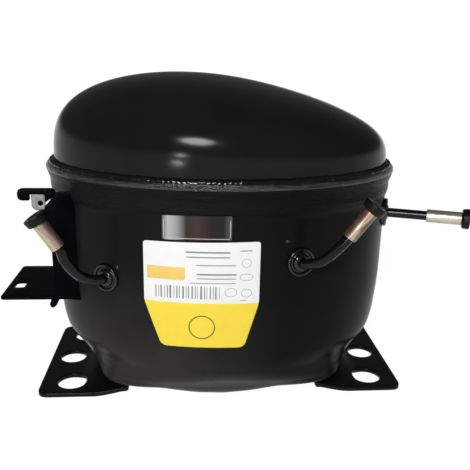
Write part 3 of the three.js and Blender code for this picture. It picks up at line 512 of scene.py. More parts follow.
def enamel(name, color, low, high, peel, shine=0.5, index=1.22):
    """Sprayed and baked black enamel: fine orange peel, and gloss that varies in broad patches."""
    finish = Finish(name, color, low, IOR=index, Specular_IOR_Level=shine)
    finish.roughness(finish.remap(finish.noise(28, 4), 0.3, 0.7, low, high))
    finish.bump(finish.noise(420, 2), peel, 0.6)
    finish.bump(finish.noise(60, 2), peel * 3, 0.5)
    finish.mottled(45, 5, color, 0.85, 1.2)
    return finish


def painted_sheen(finish, color):
    """A painted sheen of light over the lower left of the front, fading out to the right and upward: a
    lighter colour mixed into the base colour, broken up by clouds.
    """
    left, right = placed([(-20, 0, 0), (30, 0, 0)])[:, 0]
    low, high = 30 * MM, 80 * MM
    over = finish.remap(finish.place("X"), left, right, 1.0, 0.0)
    under = finish.remap(finish.place("Z"), low, high, 1.0, 0.15)
    cloud = finish.remap(finish.noise(60, 6), 0.25, 0.75, 0.7, 1.2)
    share = finish.math("MULTIPLY", finish.math("MULTIPLY", over, under), cloud)
    mix = finish.nodes.new("ShaderNodeMixRGB")
    finish.links.new(share, mix.inputs["Fac"])
    finish.links.new(finish.shader.inputs["Base Color"].links[0].from_socket, mix.inputs["Color1"])
    mix.inputs["Color2"].default_value = (*color, 1)
    finish.color(mix.outputs["Color"])
    return finish


black = (0.004, 0.0042, 0.0045)
# The colour of the painted sheen on the bowl's lower left front.
sheen_color = (0.027, 0.026, 0.0245)
# The bowl's enamel: fine streaks, and a painted sheen of light on its lower left.
shell_paint = streaked(painted_sheen(enamel("shell_paint", black, 0.24, 0.34, 0.00002, 0.35, 1.15), sheen_color)).material
foot_paint = enamel("foot_paint", black, 0.17, 0.27, 0.00002).material
# The dome's enamel has a lighter base colour than the bowl's: painted light on the top of the shell.
dome_paint = enamel("dome_paint", (0.0075, 0.0075, 0.0075), 0.13, 0.18, 0.000015, 0.5, 1.19).material
weld_paint = enamel("weld_paint", black, 0.1, 0.2, 0.00012, 0.5, 1.45).material
tube_paint = enamel("tube_paint", black, 0.1, 0.16, 0.00001, 0.5, 1.28).material
rim_paint = streaked(enamel("rim_paint", black, 0.18, 0.28, 0.00025, 0.5, 1.55)).material
matte_black = enamel("matte_black", (0.0012, 0.0016, 0.002), 0.18, 0.26, 0.00001, 0.2, 1.12).material


def plating_and_painted_light(name, start, end, radius, tints_and_painted_light):
    """Yellow passivated plating with painted light: tints laid across the tube from side to side, the
    plating's own colour with a painted highlight and painted shade of its lit and shaded sides, broken up by
    clouds.
    """
    finish = Finish(name, tints_and_painted_light[0], 0.3, 0.75)
    start, end = placed([start, end])
    along = end - start
    across = np.array([along[2], 0, -along[0]]) / np.hypot(along[0], along[2])
    dot = finish.nodes.new("ShaderNodeVectorMath")
    dot.operation = "DOT_PRODUCT"
    dot.inputs[1].default_value = across
    finish.links.new(finish.where, dot.inputs[0])
    middle, reach = start @ across, radius * MM
    share = finish.remap(dot.outputs["Value"], middle - reach, middle + reach, 0.0, 1.0)
    clouds = finish.remap(finish.noise(160, 3), 0.2, 0.8, -0.22, 0.22)
    places = np.linspace(0.12, 0.88, len(tints_and_painted_light))
    finish.color(finish.ramp(finish.math("ADD", share, clouds), list(zip(places, tints_and_painted_light))))
    finish.roughness(finish.remap(finish.noise(300, 3), 0.3, 0.7, 0.24, 0.36))
    finish.bump(finish.noise(700, 2), 0.00001)
    return finish.material


def rubber():
    """Black rubber: matte and slightly mottled, with a fine grain."""
    finish = Finish("plug_rubber", (0.004, 0.004, 0.0045), 0.4, IOR=1.24)
    mottle = [(0.3, (0.003, 0.003, 0.0035)), (0.7, (0.007, 0.007, 0.008))]
    finish.color(finish.ramp(finish.noise(350, 4), mottle))
    finish.bump(finish.noise(900, 3), 0.00003)
    return finish.material


def machined(name, color, roughness, scale=260, stretch=(1, 1, 6)):
    """Machined or rolled metal: fine lines stretched along the axis, with slight stain."""
    finish = Finish(name, color, roughness, 1.0)
    finish.mottled(70, 4, color, 0.82, 1.1)
    lines = finish.noise(scale, 3, stretch)
    finish.roughness(finish.remap(lines, 0.3, 0.7, roughness * 0.8, roughness * 1.3))
    finish.bump(finish.noise(scale * 2, 2, stretch), 0.00001, 0.5)
    return finish.material


def cast(name, color, roughness, metallic, grain):
    """Sand cast or die cast metal: a pebbled skin."""
    finish = Finish(name, color, roughness, metallic)
    finish.mottled(120, 5, color, 0.8, 1.15)
    finish.bump(finish.noise(500, 4), grain)
    return finish.material


def moulded(name, color, roughness):
    """A moulded or fused piece: one colour, barely clouded, with a smooth skin."""
    finish = Finish(name, color, roughness)
    finish.mottled(90, 3, color, 0.94, 1.0)
    finish.bump(finish.noise(800, 2), 0.00001)
    return finish.material


FILM_LEFT, FILM_RIGHT = -31.6, 1.4


def silver_film():
    """A clear metallic strip drawn as flat colour, its tones a painted reflection: pale at its left end,
    darkening to the right, with faint vertical bands.
    """
    finish = Finish("silver_film", (0.3, 0.3, 0.3), 0.15, 0.0, Specular_IOR_Level=0.15)
    left, right = placed([(FILM_LEFT, 0, 0), (FILM_RIGHT, 0, 0)])[:, 0]
    share = finish.remap(finish.place("X"), left, right, 0.0, 1.0)
    tints_and_painted_light = [
        (0.0, (0.1, 0.1, 0.1)),
        (0.08, (0.42, 0.42, 0.42)),
        (0.2, (0.3, 0.3, 0.3)),
        (0.34, (0.03, 0.022, 0.022)),
        (0.5, (0.05, 0.026, 0.026)),
        (0.7, (0.02, 0.012, 0.012)),
        (0.88, (0.012, 0.012, 0.012)),
        (1.0, (0.09, 0.09, 0.09)),
    ]
    finish.color(finish.ramp(share, tints_and_painted_light))
    finish.bump(finish.noise(300, 2), 0.00001)
    return finish.material


plated = machined("tin_plate", (0.22, 0.22, 0.21), 0.38, 400, (1, 1, 1))
bright_steel = machined("bright_steel", (0.56, 0.57, 0.58), 0.3)
spring_steel = machined("spring_steel", (0.36, 0.37, 0.39), 0.32)
lamination = machined("lamination", (0.3, 0.31, 0.33), 0.42, 2400, (0.02, 0.02, 1))
enamel_wire = machined("enamel_wire", (0.5, 0.2, 0.08), 0.35, 1600, (0.3, 0.3, 1))
copper_line = machined("copper_line", (0.66, 0.36, 0.24), 0.32)
cast_aluminium = cast("cast_aluminium", (0.66, 0.67, 0.68), 0.42, 1.0, 0.00003)
grey_iron = cast("grey_iron", (0.16, 0.16, 0.165), 0.55, 0.8, 0.00006)
sealing_glass = moulded("sealing_glass", (0.05, 0.1, 0.08), 0.12)
muffler_plastic = moulded("muffler_plastic", (0.75, 0.73, 0.66), 0.5)
plug_rubber = rubber()
# The serial strip's film, with a painted reflection across it.
film = silver_film()

# ---------------------------------------------------------------- the shell

RIM_PROFILE = [
    (0.0, 105.5),
    (0.0, 108),
    (-1.35, 112.3),
    (-1.4, 117.0),
    (-2.3, 119.4),
    (-3.36, 122.6),
    (-3.2, 124.1),
    (-2.2, 125.4),
    (-0.5, 125.4),
    (-0.5, 115.3),
    (2.8, 112.8),
    (2.8, 105),
]
RIM_EDGE = 122.4
LOBE = dict(x=-2.0, half=34.0, depth=3.8, top=17.0)


def lobe(x):
    """How far the bowl's foot sinks at x: a depth times (1 - u^2)^1.5 over the lobe's half-width."""
    u = (x - LOBE["x"]) / LOBE["half"]
    return LOBE["depth"] * np.clip(1 - u**2, 0, None) ** 1.5


def sunk(z):
    """The share of the sinking that reaches a height: whole at the floor, none at the lobe's top."""
    t = np.clip((z - BOWL[0, 0]) / (LOBE["top"] - BOWL[0, 0]), 0, 1)
    return (1 - t) ** 2 * (1 + 2 * t)


def dish(x, y):
    """The floor's dish: its height grows with the square of the distance from the middle."""
    return DISH["bottom"] + DISH["depth"] * (((x - DISH["x"]) / DISH["a"]) ** 2 + (y / DISH["b"]) ** 2)


def lower_shell():
    """The bowl: for each ring of the profile |x/a|^n + |y/b|^n = 1, on a floor with a shallow dish in it.
    The inside is the same rings, moved in by the sheet's thickness along the slope."""
    foot_heights = [5.8, 5.9, 6.05, 6.3, 6.8, 7.4, 8.2]
    wall_heights = [*np.arange(9, 34, 1), *np.arange(36, 68, 4), 80, 95, 105.5]
    height = np.array([*foot_heights, *wall_heights], float)
    a, b = wall_sizes(height)
    power = eased(height, BOWL[:, 0], BOWL[:, 3])
    # the floor's rings, closer together towards its edge
    share = np.concatenate([np.linspace(0, 0.7, 16), np.linspace(0.72, 0.985, 18)])
    flat = np.ones(len(share))
    rim = arc_profile(RIM_PROFILE, 1.2, 6)[1:]
    slope = np.gradient((a + b) / 2, height)
    lean = np.sqrt(1 + slope**2)
    inward, upward = SHEET / lean, SHEET * slope / lean
    within = [line[::-1] for line in (a - inward, b - inward, height + upward, power)]
    inner_top = 100
    below_rim = within[2] < inner_top
    inner_a, inner_b, inner_z, inner_power = [line[below_rim] for line in within]
    a = np.concatenate([a[0] * share, a, WALL_A - rim[:, 0], inner_a, inner_a[-1] * share[::-1]])
    b = np.concatenate([b[0] * share, b, WALL_B - rim[:, 0], inner_b, inner_b[-1] * share[::-1]])
    z = np.concatenate([height[0] * flat, height, rim[:, 1], inner_z, inner_z[-1] * flat])
    power = np.concatenate([power[0] * flat, power, np.full(len(rim), 2.0), inner_power, power[0] * flat])
    thickness = np.where(np.arange(len(z)) < len(share) + len(height) + len(rim), 0, SHEET)
    turn, exponent = angles(), 2 / power[:, None]
    reach_x, reach_y = [np.sign(wave) * np.abs(wave) ** exponent for wave in (np.cos(turn), np.sin(turn))]
    x, y = a[:, None] * reach_x, b[:, None] * reach_y
    level = z[:, None] + 0 * x
    level = level - lobe(x) * sunk(level - thickness[:, None])
    for rows in (slice(0, len(share)), slice(-len(share), None)):
        level[rows] = np.minimum(level[rows], dish(x[rows], y[rows]) + thickness[rows, None])
    grid = np.stack([x, y, level], -1)
    paints = [shell_paint, rim_paint]
    shell = gridded("lower_shell_skin", grid, "shell", replaces=["lower_shell"], materials=paints, sharp=60)
    for face in shell.data.polygons:
        face.material_index = int(face.center.z > RIM_EDGE * MM)


def dome_grid(depth, shares):
    """The dome: height falls with a flattened power of the plan radius, under a crown leaning along x."""
    grow = (dome_top - DOME_BASE) / DOME_RISE
    share = shares[:, None]
    turn = angles()[None, :]
    x = (DOME_A - depth) * share * np.cos(turn)
    y = (DOME_B - depth) * share * np.sin(turn)
    u = x / DOME_A
    crown = DOME_HEIGHT - CROWN_DROP - depth - DOME_LEAN * u - DOME_SAG * u**2
    rise = np.clip(1 - share**DOME_PLAN, 0, 1) ** (1 / DOME_POWER)
    return np.stack([x, y, DOME_BASE + min(grow, 1.0) * crown * rise], -1)


def upper_shell():
    """The dome outside and inside, joined by the skirt that stands in the lower shell's rim."""
    # the rings crowd together towards the dome's edge
    crowding = 3.2
    wide = 1 - np.linspace(0, 1, 90) ** crowding
    wide[-1] = 0
    outer = dome_grid(0, wide)
    inner = dome_grid(SHEET, wide[::6])[::-1]
    skirt_foot, skirt_top = 115.7, 124.2
    inset = np.array([3.0, -0.2, -0.2])
    skirt = elliptical(WALL_A - inset, WALL_B - inset, np.array([skirt_foot, skirt_foot, skirt_top]))
    grid = np.concatenate([inner, skirt, outer])
    gridded("upper_shell_skin", grid, "shell", replaces=["upper_shell"], materials=[dome_paint], sharp=60)


def seam_weld():
    """The weld bead: a low rounded section carried round the rim, rippling as the sum of three waves."""
    section = [(-1.75, 124.95), (-1.5, 126.1), (-0.5, 126.9), (0.5, 127.25), (0.95, 127), (0.9, 125.5)]
    across = arc_profile(section, 0.7, 5)
    turn = angles(1440)
    inset = across[:, 0][:, None] + 0 * turn
    middle = np.sin(np.linspace(0, np.pi, len(across)))[:, None]
    ripple = 0.2 * np.sin(240 * turn) + 0.12 * np.sin(37 * turn + 1.3) + 0.12 * np.sin(91 * turn)
    inset = inset - middle * ripple
    height = across[:, 1][:, None] + middle * ripple * 0.8
    a, b = WALL_A - inset, WALL_B - inset
    bead_top = 127.3
    grid = np.stack([a * np.cos(turn), b * np.sin(turn), np.minimum(height, bead_top)], -1)
    grid = np.concatenate([grid, grid[:1]])
    gridded("seam_bead", grid, "shell", replaces=["seam_weld"], materials=[weld_paint], sharp=80)


lower_shell()
upper_shell()
seam_weld()

# ---------------------------------------------------------------- feet

FOOT_OUTER, FOOT_INNER, FOOT_HALF, FOOT_SHEET = 102.2, 52.3, 43.3, 2.6
FOOT_HOLES = [(85.0, -30.0, 8.0), (89.4, 0.0, 7.5), (85.0, 30.0, 8.0)]
SADDLE = dict(a=73.5, b=46.0, start=1.134, slope=126.0, power=1.75, lift=2.9)


def foot_lift(x, y):
    """The sheet's height: it rises with a fourth-power plan distance, then lies flat under the shell."""
    reach = ((np.abs(x) / SADDLE["a"]) ** 4 + (np.abs(y) / SADDLE["b"]) ** 4) ** 0.25
    rise = SADDLE["slope"] * np.clip(SADDLE["start"] - reach, 0, None) ** SADDLE["power"]
    over, softness = SADDLE["lift"] - rise, 0.02
    return SADDLE["lift"] - 0.5 * (over + np.sqrt(over**2 + softness))


def foot(side, name):
    """A foot: a plate with round corners outside, whose inner end is tucked under the shell's floor."""
    front = [(FOOT_INNER, -FOOT_HALF), (FOOT_OUTER, -FOOT_HALF)]
    back = [(FOOT_OUTER, FOOT_HALF), (FOOT_INNER, FOOT_HALF)]
    outline = loop_of([*front, *back], [2.0, 6.0, 6.0, 2.0])
    holes = [ring_of(x, y, radius) for x, y, radius in FOOT_HOLES]
    vertices, faces = plate(outline, holes, FOOT_SHEET, 0.55, 1.2, 2.2, foot_lift)
    vertices[:, 0] *= side
    finished(name + "_skin", vertices, faces, "shell", replaces=[name], materials=[foot_paint], sharp=50)


foot(-1, "foot_plate_left")
foot(1, "foot_plate_right")

# ---------------------------------------------------------------- pipe stubs

# Each stub's colours run across its bare end from side to side: the plating's tint, with a painted highlight
# and painted shade of its lit and shaded sides.
STUBS = {
    "suction": dict(
        root=(-60.1, -52.5, 73.9),
        tube=2.6,
        collar=7.3,
        bends=[(-67.5, -59, 75.1), (-71.7, -63, 78.6), (-75, -66, 83.4), (-77.5, -67.8, 88.4)],
        start=(-79.7, -69, 94.9),
        end=(-87.3, -70, 106.8),
        sleeve=3.55,
        tints_and_painted_light=[
            (0.42, 0.36, 0.2),
            (0.56, 0.48, 0.3),
            (0.3, 0.22, 0.19),
            (0.42, 0.29, 0.27),
            (0.26, 0.18, 0.15),
        ],
    ),
    "discharge": dict(
        root=(35.7, -63.2, 85.3),
        tube=2.55,
        collar=7.4,
        bends=[(40.3, -70, 86.4), (43.6, -73.5, 88.5), (47.3, -76.5, 92.6), (51.4, -78.6, 97.9)],
        start=(54.9, -79.5, 102.6),
        end=(63.9, -81, 115.2),
        sleeve=3.5,
        tints_and_painted_light=[
            (0.2, 0.12, 0.09),
            (0.34, 0.23, 0.17),
            (0.52, 0.42, 0.32),
            (0.17, 0.12, 0.07),
            (0.12, 0.09, 0.05),
        ],
    ),
    "process": dict(
        root=(90.4, -18, 98.9),
        tube=2.6,
        collar=7.9,
        bends=[],
        start=(112.4, -26.2, 98.9),
        end=(129.6, -32.6, 98.9),
        sleeve=3.55,
        tints_and_painted_light=[
            (0.38, 0.35, 0.29),
            (0.48, 0.46, 0.37),
            (0.56, 0.54, 0.46),
            (0.52, 0.46, 0.38),
            (0.45, 0.34, 0.26),
        ],
    ),
}


SLEEVE_WALL, STEM_LENGTH, BORE_SPARE, PLUG_GAP = 0.9, 8.0, 1.0, 0.3


def stub_piece(name, part, grid, material, sharp, body="shell"):
    """One piece of a stub, in place of the solid of the same name."""
    solid = name + "_" + part
    gridded(solid + "_skin", grid, body, replaces=[solid], materials=[material], sharp=sharp)


def stub(name, sizes):
    """One stub: collar, swept tube, bare end with a bore deep enough for the stem, and rubber plug."""
    root = np.array(sizes["root"], float)
    out = wall_normal(root[0], root[1])
    start, end = np.array(sizes["start"], float), np.array(sizes["end"], float)
    length = np.linalg.norm(end - start)
    along = (end - start) / length
    leaving = [root + out * step for step in (-8, -2, 2, 4)]
    knots = [*leaving, *sizes["bends"], start - along * 2, start + along * 3]
    tube, collar, radius = sizes["tube"], sizes["collar"], sizes["sleeve"]
    stub_piece(name, "tube", swept(smooth_path(knots, 140), tube), tube_paint, 60)
    rim = [(collar, -3), (collar, 1.2), (collar - 0.4, 2.1), (collar - 1.3, 2.1), (collar - 1.9, 1.0)]
    section = [(0.01, -3), *rim, (tube + 2.0, 1.0), (tube + 1.7, 2.3), (tube + 0.7, 2.9), (0.01, 2.9)]
    stub_piece(name, "collar", turned(arc_profile(section, 0.8), root, out), weld_paint, 50)
    # The bare end's plating, with a painted highlight and painted shade laid across it.
    plated_and_lit = plating_and_painted_light(name + "_zinc", sizes["start"], sizes["end"], radius, sizes["tints_and_painted_light"])
    bore = radius - SLEEVE_WALL
    floor_at = length - STEM_LENGTH - BORE_SPARE
    sleeve = [(0.01, 0), (radius, 0), (radius, length), (bore, length), (bore, floor_at), (0.01, floor_at)]
    stub_piece(name, "sleeve", turned(arc_profile(sleeve, 0.25), start, along), plated_and_lit, 40)
    base = length + PLUG_GAP
    tip = base - STEM_LENGTH
    stem = [(0.01, tip), (radius - 1.3, tip + 0.4), (radius - 1.2, base)]
    edge = [(4.8, base), (5.3, base + 0.5), (5.65, base + 3.4), (5.3, base + 4)]
    face = [(3.2, base + 4), (2.8, base + 3.6), (0.01, base + 3.6)]
    plug = turned(arc_profile([*stem, *edge, *face], 0.35), start, along)
    stub_piece(name, "plug", plug, plug_rubber, 50, name + "_plug_body")


def nib(name, place):
    """A small spot left on the wall above each front stub."""
    centre = np.array(place, float)
    dot = [(0.01, -1), (1.3, -1), (1.25, 0.3), (0.8, 0.75), (0.01, 0.85)]
    grid = turned(arc_profile(dot, 0.3), centre, wall_normal(centre[0], centre[1]), 24)
    gridded(name, grid, "shell", materials=[weld_paint], sharp=60)


for stub_name, stub_sizes in STUBS.items():
    stub(stub_name, stub_sizes)
nib("nib_left", (-54.6, -55.6, 80.3))
nib("nib_right", (28.9, -65.1, 96.5))

# ---------------------------------------------------------------- the terminal fence

FENCE_FRONT, FENCE_BACK, FENCE_SHEET = -39.5, 10.0, 1.6
TAB_HOLE = (-93.9, 108.3)


def terminal_fence():
    """The fence: two walls, a slotted shelf, a hook and a top arm, each a plate with rounded edges."""
    ear = [(-86.4, 114.5), (-88.2, 110.8), (-91.6, 107), (-92.2, 103), (-91.6, 99), (-89.5, 95)]
    front_corners = [(-89.5, 57), (-70, 55.5), (-70, 114.5), *ear]
    front_wall = plate(loop_of(front_corners, 0.8), [], FENCE_SHEET, 0.4, 1.0, 5)
    back_corners = [(-99, 57), (-70, 55.5), (-70, 102), (-99, 102)]
    back_wall = plate(loop_of(back_corners, 1.5), [], FENCE_SHEET, 0.4, 1.2, 5)
    slot = loop_of([(-114.5, -25), (-109, -25), (-109, -16), (-114.5, -16)], 0.8)
    shelf_corners = [(-118, FENCE_FRONT), (-80, FENCE_FRONT), (-80, FENCE_BACK), (-118, FENCE_BACK)]
    shelf = plate(loop_of(shelf_corners, [2.5, 1, 1, 2.5]), [slot], FENCE_SHEET, 0.4, 1.2, 5)
    hook_tip = [(-92.8, 53.4), (-91.4, 51.2), (-89.2, 52.4)]
    hook_corners = [(-91.3, 58), (-91.9, 55.1), *hook_tip, (-87.7, 55.4), (-87, 58)]
    hook = plate(loop_of(hook_corners, [0.2, 1.2, 1.1, 1.1, 1.2, 1.6, 0.2]), [], 5, 0.9, 0.7, 2)
    arm_tip = [(-104.7, 116.4), (-104.7, 110.1), (-98.7, 110.1), (-98.7, 113.3)]
    arm_corners = [(-86.6, 112.4), (-86.6, 116.4), *arm_tip, (-91.3, 113.3), (-91.3, 109)]
    arm = plate(loop_of(arm_corners, [1.0, 1.4, 3.0, 2.6, 0.8, 0.4, 0.4, 0.6]), [], 3, 0.9, 0.7, 2)
    boss = plate(ring_of(-88.0, 114.2, 2.1, 36), [], 3.6, 0.7, 0.5, 1.5)
    shelf_middle = 57.2
    shelf_points = shelf[0] + np.array([0, 0, shelf_middle - FENCE_SHEET / 2])
    parts = [
        (upright(front_wall[0], FENCE_FRONT), front_wall[1]),
        (upright(back_wall[0], FENCE_BACK - FENCE_SHEET), back_wall[1]),
        (shelf_points, shelf[1]),
        (upright(hook[0], FENCE_FRONT), hook[1]),
        (upright(arm[0], FENCE_FRONT - 0.7), arm[1]),
        (upright(boss[0], FENCE_FRONT - 1.0), boss[1]),
    ]
    looks = dict(materials=[matte_black], sharp=50)
    finished("terminal_fence_skin", *joined(parts), "shell", replaces=["terminal_fence"], **looks)


def earth_tab():
    """The spade tab: a thin plate with a round hole, its lower outer corner cut."""
    outline = loop_of([(-98.4, 106.3), (-96.4, 104.5), (-91.5, 104.5), (-91.5, 114.6), (-98.4, 114.6)], 0.5)
    vertices, faces = plate(outline, [ring_of(*TAB_HOLE, 1.3, 24)], 0.8, 0.2, 0.8, 3)
    points = upright(vertices, FENCE_FRONT + 1.9)
    finished("earth_tab_skin", points, faces, "shell", replaces=["earth_tab"], materials=[plated])


def shade_in_tab_hole():
    """Painted shade in the tab's hole: a shallow black disc in it, standing for the shade seen through the
    hole.
    """
    vertices, faces = plate(ring_of(*TAB_HOLE, 1.35, 24), [], 0.6, 0.1, 0.8, 3)
    points = upright(vertices, FENCE_FRONT + 2.0)
    finished("earth_tab_hole_shade", points, faces, "shell", materials=[matte_black])


terminal_fence()
earth_tab()
# A black disc of painted shade fills the tab's hole.
shade_in_tab_hole()

# ---------------------------------------------------------------- labels


def ink(name, color):
    """Printed or coated film in one colour, very slightly clouded."""
    finish = Finish(name, color, 0.45)
    finish.mottled(160, 3, color, 0.96, 1.0)
    return finish.material


label_white = ink("label_white", (0.8, 0.81, 0.8))
label_yellow = ink("label_yellow", (0.86, 0.65, 0.045))
label_amber = ink("label_amber", (0.8, 0.54, 0.12))
label_grey = ink("label_grey", (0.22, 0.22, 0.22))
label_green = ink("label_green", (0.09, 0.12, 0.02))


def on_wall(vertices, proud):
    """Points of a plate drawn in x and z, laid on the front wall and moved out by their third coordinate."""
    points = wall_point(vertices[:, 0], vertices[:, 1], 0.0)
    normal = wall_point(vertices[:, 0], vertices[:, 1], 1.0) - points
    return points + normal * (proud + vertices[:, 2])[:, None]


def label_patch(name, corners, proud, material, replaces=(), radius=0.0, thickness=0.25):
    """A plate drawn in x and z and wrapped on the front wall, standing proud of it."""
    vertices, faces = plate(loop_of(corners, radius), [], thickness, min(0.06, thickness / 3), 1.0, 2.5)
    points = on_wall(vertices, proud)
    finished(name, points, faces, "shell", replaces=replaces, materials=[material], sharp=40)


LABEL_LEFT, LABEL_RIGHT, LABEL_MIDDLE = -40.9, 15.4, 65.5
PROUD_LABEL, PROUD_PRINT = 0.25, 0.5


def rating_label():
    """The plate: a white upper half with round top corners, and a yellow lower half that narrows."""
    left, right, middle = LABEL_LEFT, LABEL_RIGHT, LABEL_MIDDLE
    white = [(left, middle), (right, middle), (right, 97.1), (left, 96.3)]
    round_top = [0.1, 0.1, 1.6, 1.6]
    label_patch("rating_label_white", white, PROUD_LABEL, label_white, ["rating_label"], round_top)
    yellow = [(left, middle), (-32.8, 41), (8.6, 41), (right, middle)]
    round_foot = [0.1, 3, 3, 0.1]
    label_patch("rating_label_yellow", yellow, PROUD_LABEL, label_yellow, radius=round_foot)


def serial_film():
    """The strip of film above the plate."""
    corners = [(FILM_LEFT, 97.6), (FILM_RIGHT, 97.9), (FILM_RIGHT, 110), (FILM_LEFT, 109.6)]
    label_patch("serial_label_film", corners, PROUD_LABEL, film, ["serial_label"], 0.6)


rating_label()
serial_film()

film_line = ink("film_line", (0.5, 0.5, 0.5))

# Plain blocks, bars, rules and rings stand where print would be.


def printed_box(name, x0, z0, x1, z1, material):
    """A plain printed block, between two opposite corners."""
    corners = [(x0, z0), (x1, z0), (x1, z1), (x0, z1)]
    label_patch(name, corners, PROUD_PRINT, material, radius=0.12, thickness=0.04)


def printed_ring(name, x, z, across, up, line, material):
    """An outlined oval: a plate with an oval hole in it, wrapped on the wall."""
    turn = np.linspace(0, 2 * np.pi, 49)[:-1]
    outline = np.stack([x + across * np.cos(turn), z + up * np.sin(turn)], -1)
    hole = np.stack([x + (across - line) * np.cos(turn), z + (up - line) * np.sin(turn)], -1)
    vertices, faces = plate(outline, [hole], 0.04, 0.01, 0.5, 5.0)
    points = on_wall(vertices, PROUD_PRINT)
    finished(name, points, faces, "shell", materials=[material], sharp=40)


BAR_TENTHS = (5, 3, 7, 3, 5, 9, 3, 6, 4, 8, 3, 5, 7, 4, 3, 9, 5, 3, 6, 4, 7, 3)
RULES = [
    (-20.6, 91.4, 1.0, 92.2),
    (-20.6, 89.0, 1.0, 89.6),
    (-15.8, 85.0, 4.0, 85.5),
    (-15.4, 80.2, 4.2, 81.0),
    (-15.4, 78.2, 4.2, 78.7),
    (-18.6, 75.9, 4.0, 76.3),
    (5.2, 92.4, 11.8, 92.9),
    (5.6, 66.9, 9.2, 67.2),
]
OVALS = [
    (8.8, 86.4, 2.3, 2.3, 0.22),
    (8.8, 79.2, 3.3, 1.8, 0.22),
    (1.4, 71.4, 3.0, 2.3, 0.25),
    (9.0, 71.0, 2.6, 2.2, 0.22),
]


def print_on_labels():
    """The amber box, bars of varied width, short rules in place of words, four plain ovals and a ring."""
    printed_box("print_amber", -39.2, 77.4, -20.8, 84.0, label_amber)
    x, bar_low, bar_high, gaps = -35.2, 67.6, 74.6, (0.95, 0.7, 1.2)
    for index, tenths in enumerate(BAR_TENTHS):
        width = tenths / 10
        printed_box(f"print_bar_{index + 1}", x, bar_low, x + width, bar_high, label_grey)
        x += width + gaps[index % 3]
    for index, rule in enumerate(RULES):
        printed_box(f"print_rule_{index + 1}", *rule, label_grey)
    for index, oval in enumerate(OVALS):
        printed_ring(f"print_oval_{index + 1}", *oval, label_grey)
    printed_ring("print_ring", -12.6, 52.4, 6.6, 6.6, 0.6, label_green)


def film_frame():
    """A thin plain line inside the film's edge."""
    left, right, low, high, line = -31, 0.8, 98.4, 109, 0.3
    foot, top = low + line, high - line
    across = [(left, top, right, high), (left, low, right, foot)]
    ends = [(left, foot, left + line, top), (right - line, foot, right, top)]
    for index, sides in enumerate([*across, *ends]):
        printed_box(f"film_line_{index + 1}", *sides, film_line)


print_on_labels()
film_frame()

# ---------------------------------------------------------------- springs, line and inner finishes

SPRING = dict(low=17.0, high=30.8, radius=5.0, wire=0.9, turns=4.5)
PUMP_X, POST_X, POST_Y = -8.0, 36.0, 27.0
LINE_RADIUS = 1.6


def bending(piece):
    """Bakes the piece's placing into its mesh."""
    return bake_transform(piece)


def suspension_spring(index, x, y):
    """A coil spring: the turn runs evenly along the wire, and the height eases so that both ends close."""
    share, ease = np.linspace(0, 1, 240), 0.11
    eased_share = share - ease * np.sin(2 * np.pi * share)
    height = SPRING["low"] + (SPRING["high"] - SPRING["low"]) * eased_share
    turn = 2 * np.pi * SPRING["turns"] * share
    path = np.stack([x + SPRING["radius"] * np.cos(turn), y + SPRING["radius"] * np.sin(turn), height], -1)
    name = f"suspension_spring_{index}"
    wire = swept(path, SPRING["wire"], 12)
    coil = gridded(name + "_skin", wire, None, replaces=[name], materials=[spring_steel], sharp=60)
    bending(coil)


def discharge_line():
    """The copper line: a small tube swept along a loop from the pump's muffler to the stub's inner end."""
    at_muffler, at_stub = (42.2, -32, 112), (33.2, -55.0, 85.3)
    falling = [(48, -33, 112), (56, -34, 106), (60, -35, 94), (57, -39, 80), (49, -47, 72)]
    rising = [(40, -53, 73), (34, -52.5, 79), (32.5, -52.7, 85.3)]
    path = smooth_path([at_muffler, *falling, *rising, at_stub], 160)
    line = swept(path, LINE_RADIUS, 24)
    looks = dict(materials=[copper_line], sharp=60)
    tube = gridded("discharge_line_skin", line, None, replaces=["discharge_line"], **looks)
    bending(tube)


for index, (side_x, side_y) in enumerate([(-1, -1), (1, -1), (1, 1), (-1, 1)]):
    suspension_spring(index + 1, PUMP_X + side_x * POST_X, side_y * POST_Y)
discharge_line()

SLOT_FINISHES = {
    "bright_steel": bright_steel,
    "sealing_glass": sealing_glass,
    "lamination": lamination,
    "enamel_wire": enamel_wire,
    "cast_aluminium": cast_aluminium,
    "grey_iron": grey_iron,
    "spring_steel": spring_steel,
    "muffler_plastic": muffler_plastic,
    "copper_line": copper_line,
    "weld_paint": weld_paint,
}
node_slots = {entry["node"]: entry["material_slot"] for entry in frame["record"]["subparts"]}
for node_name, node in frame["nodes"].items():
    finish_of_node = SLOT_FINISHES.get(node_slots[node_name])
    if finish_of_node is not None:
        for index in range(len(node.material_slots)):
            node.material_slots[index].material = finish_of_node

# ---------------------------------------------------------------- floor, light and camera


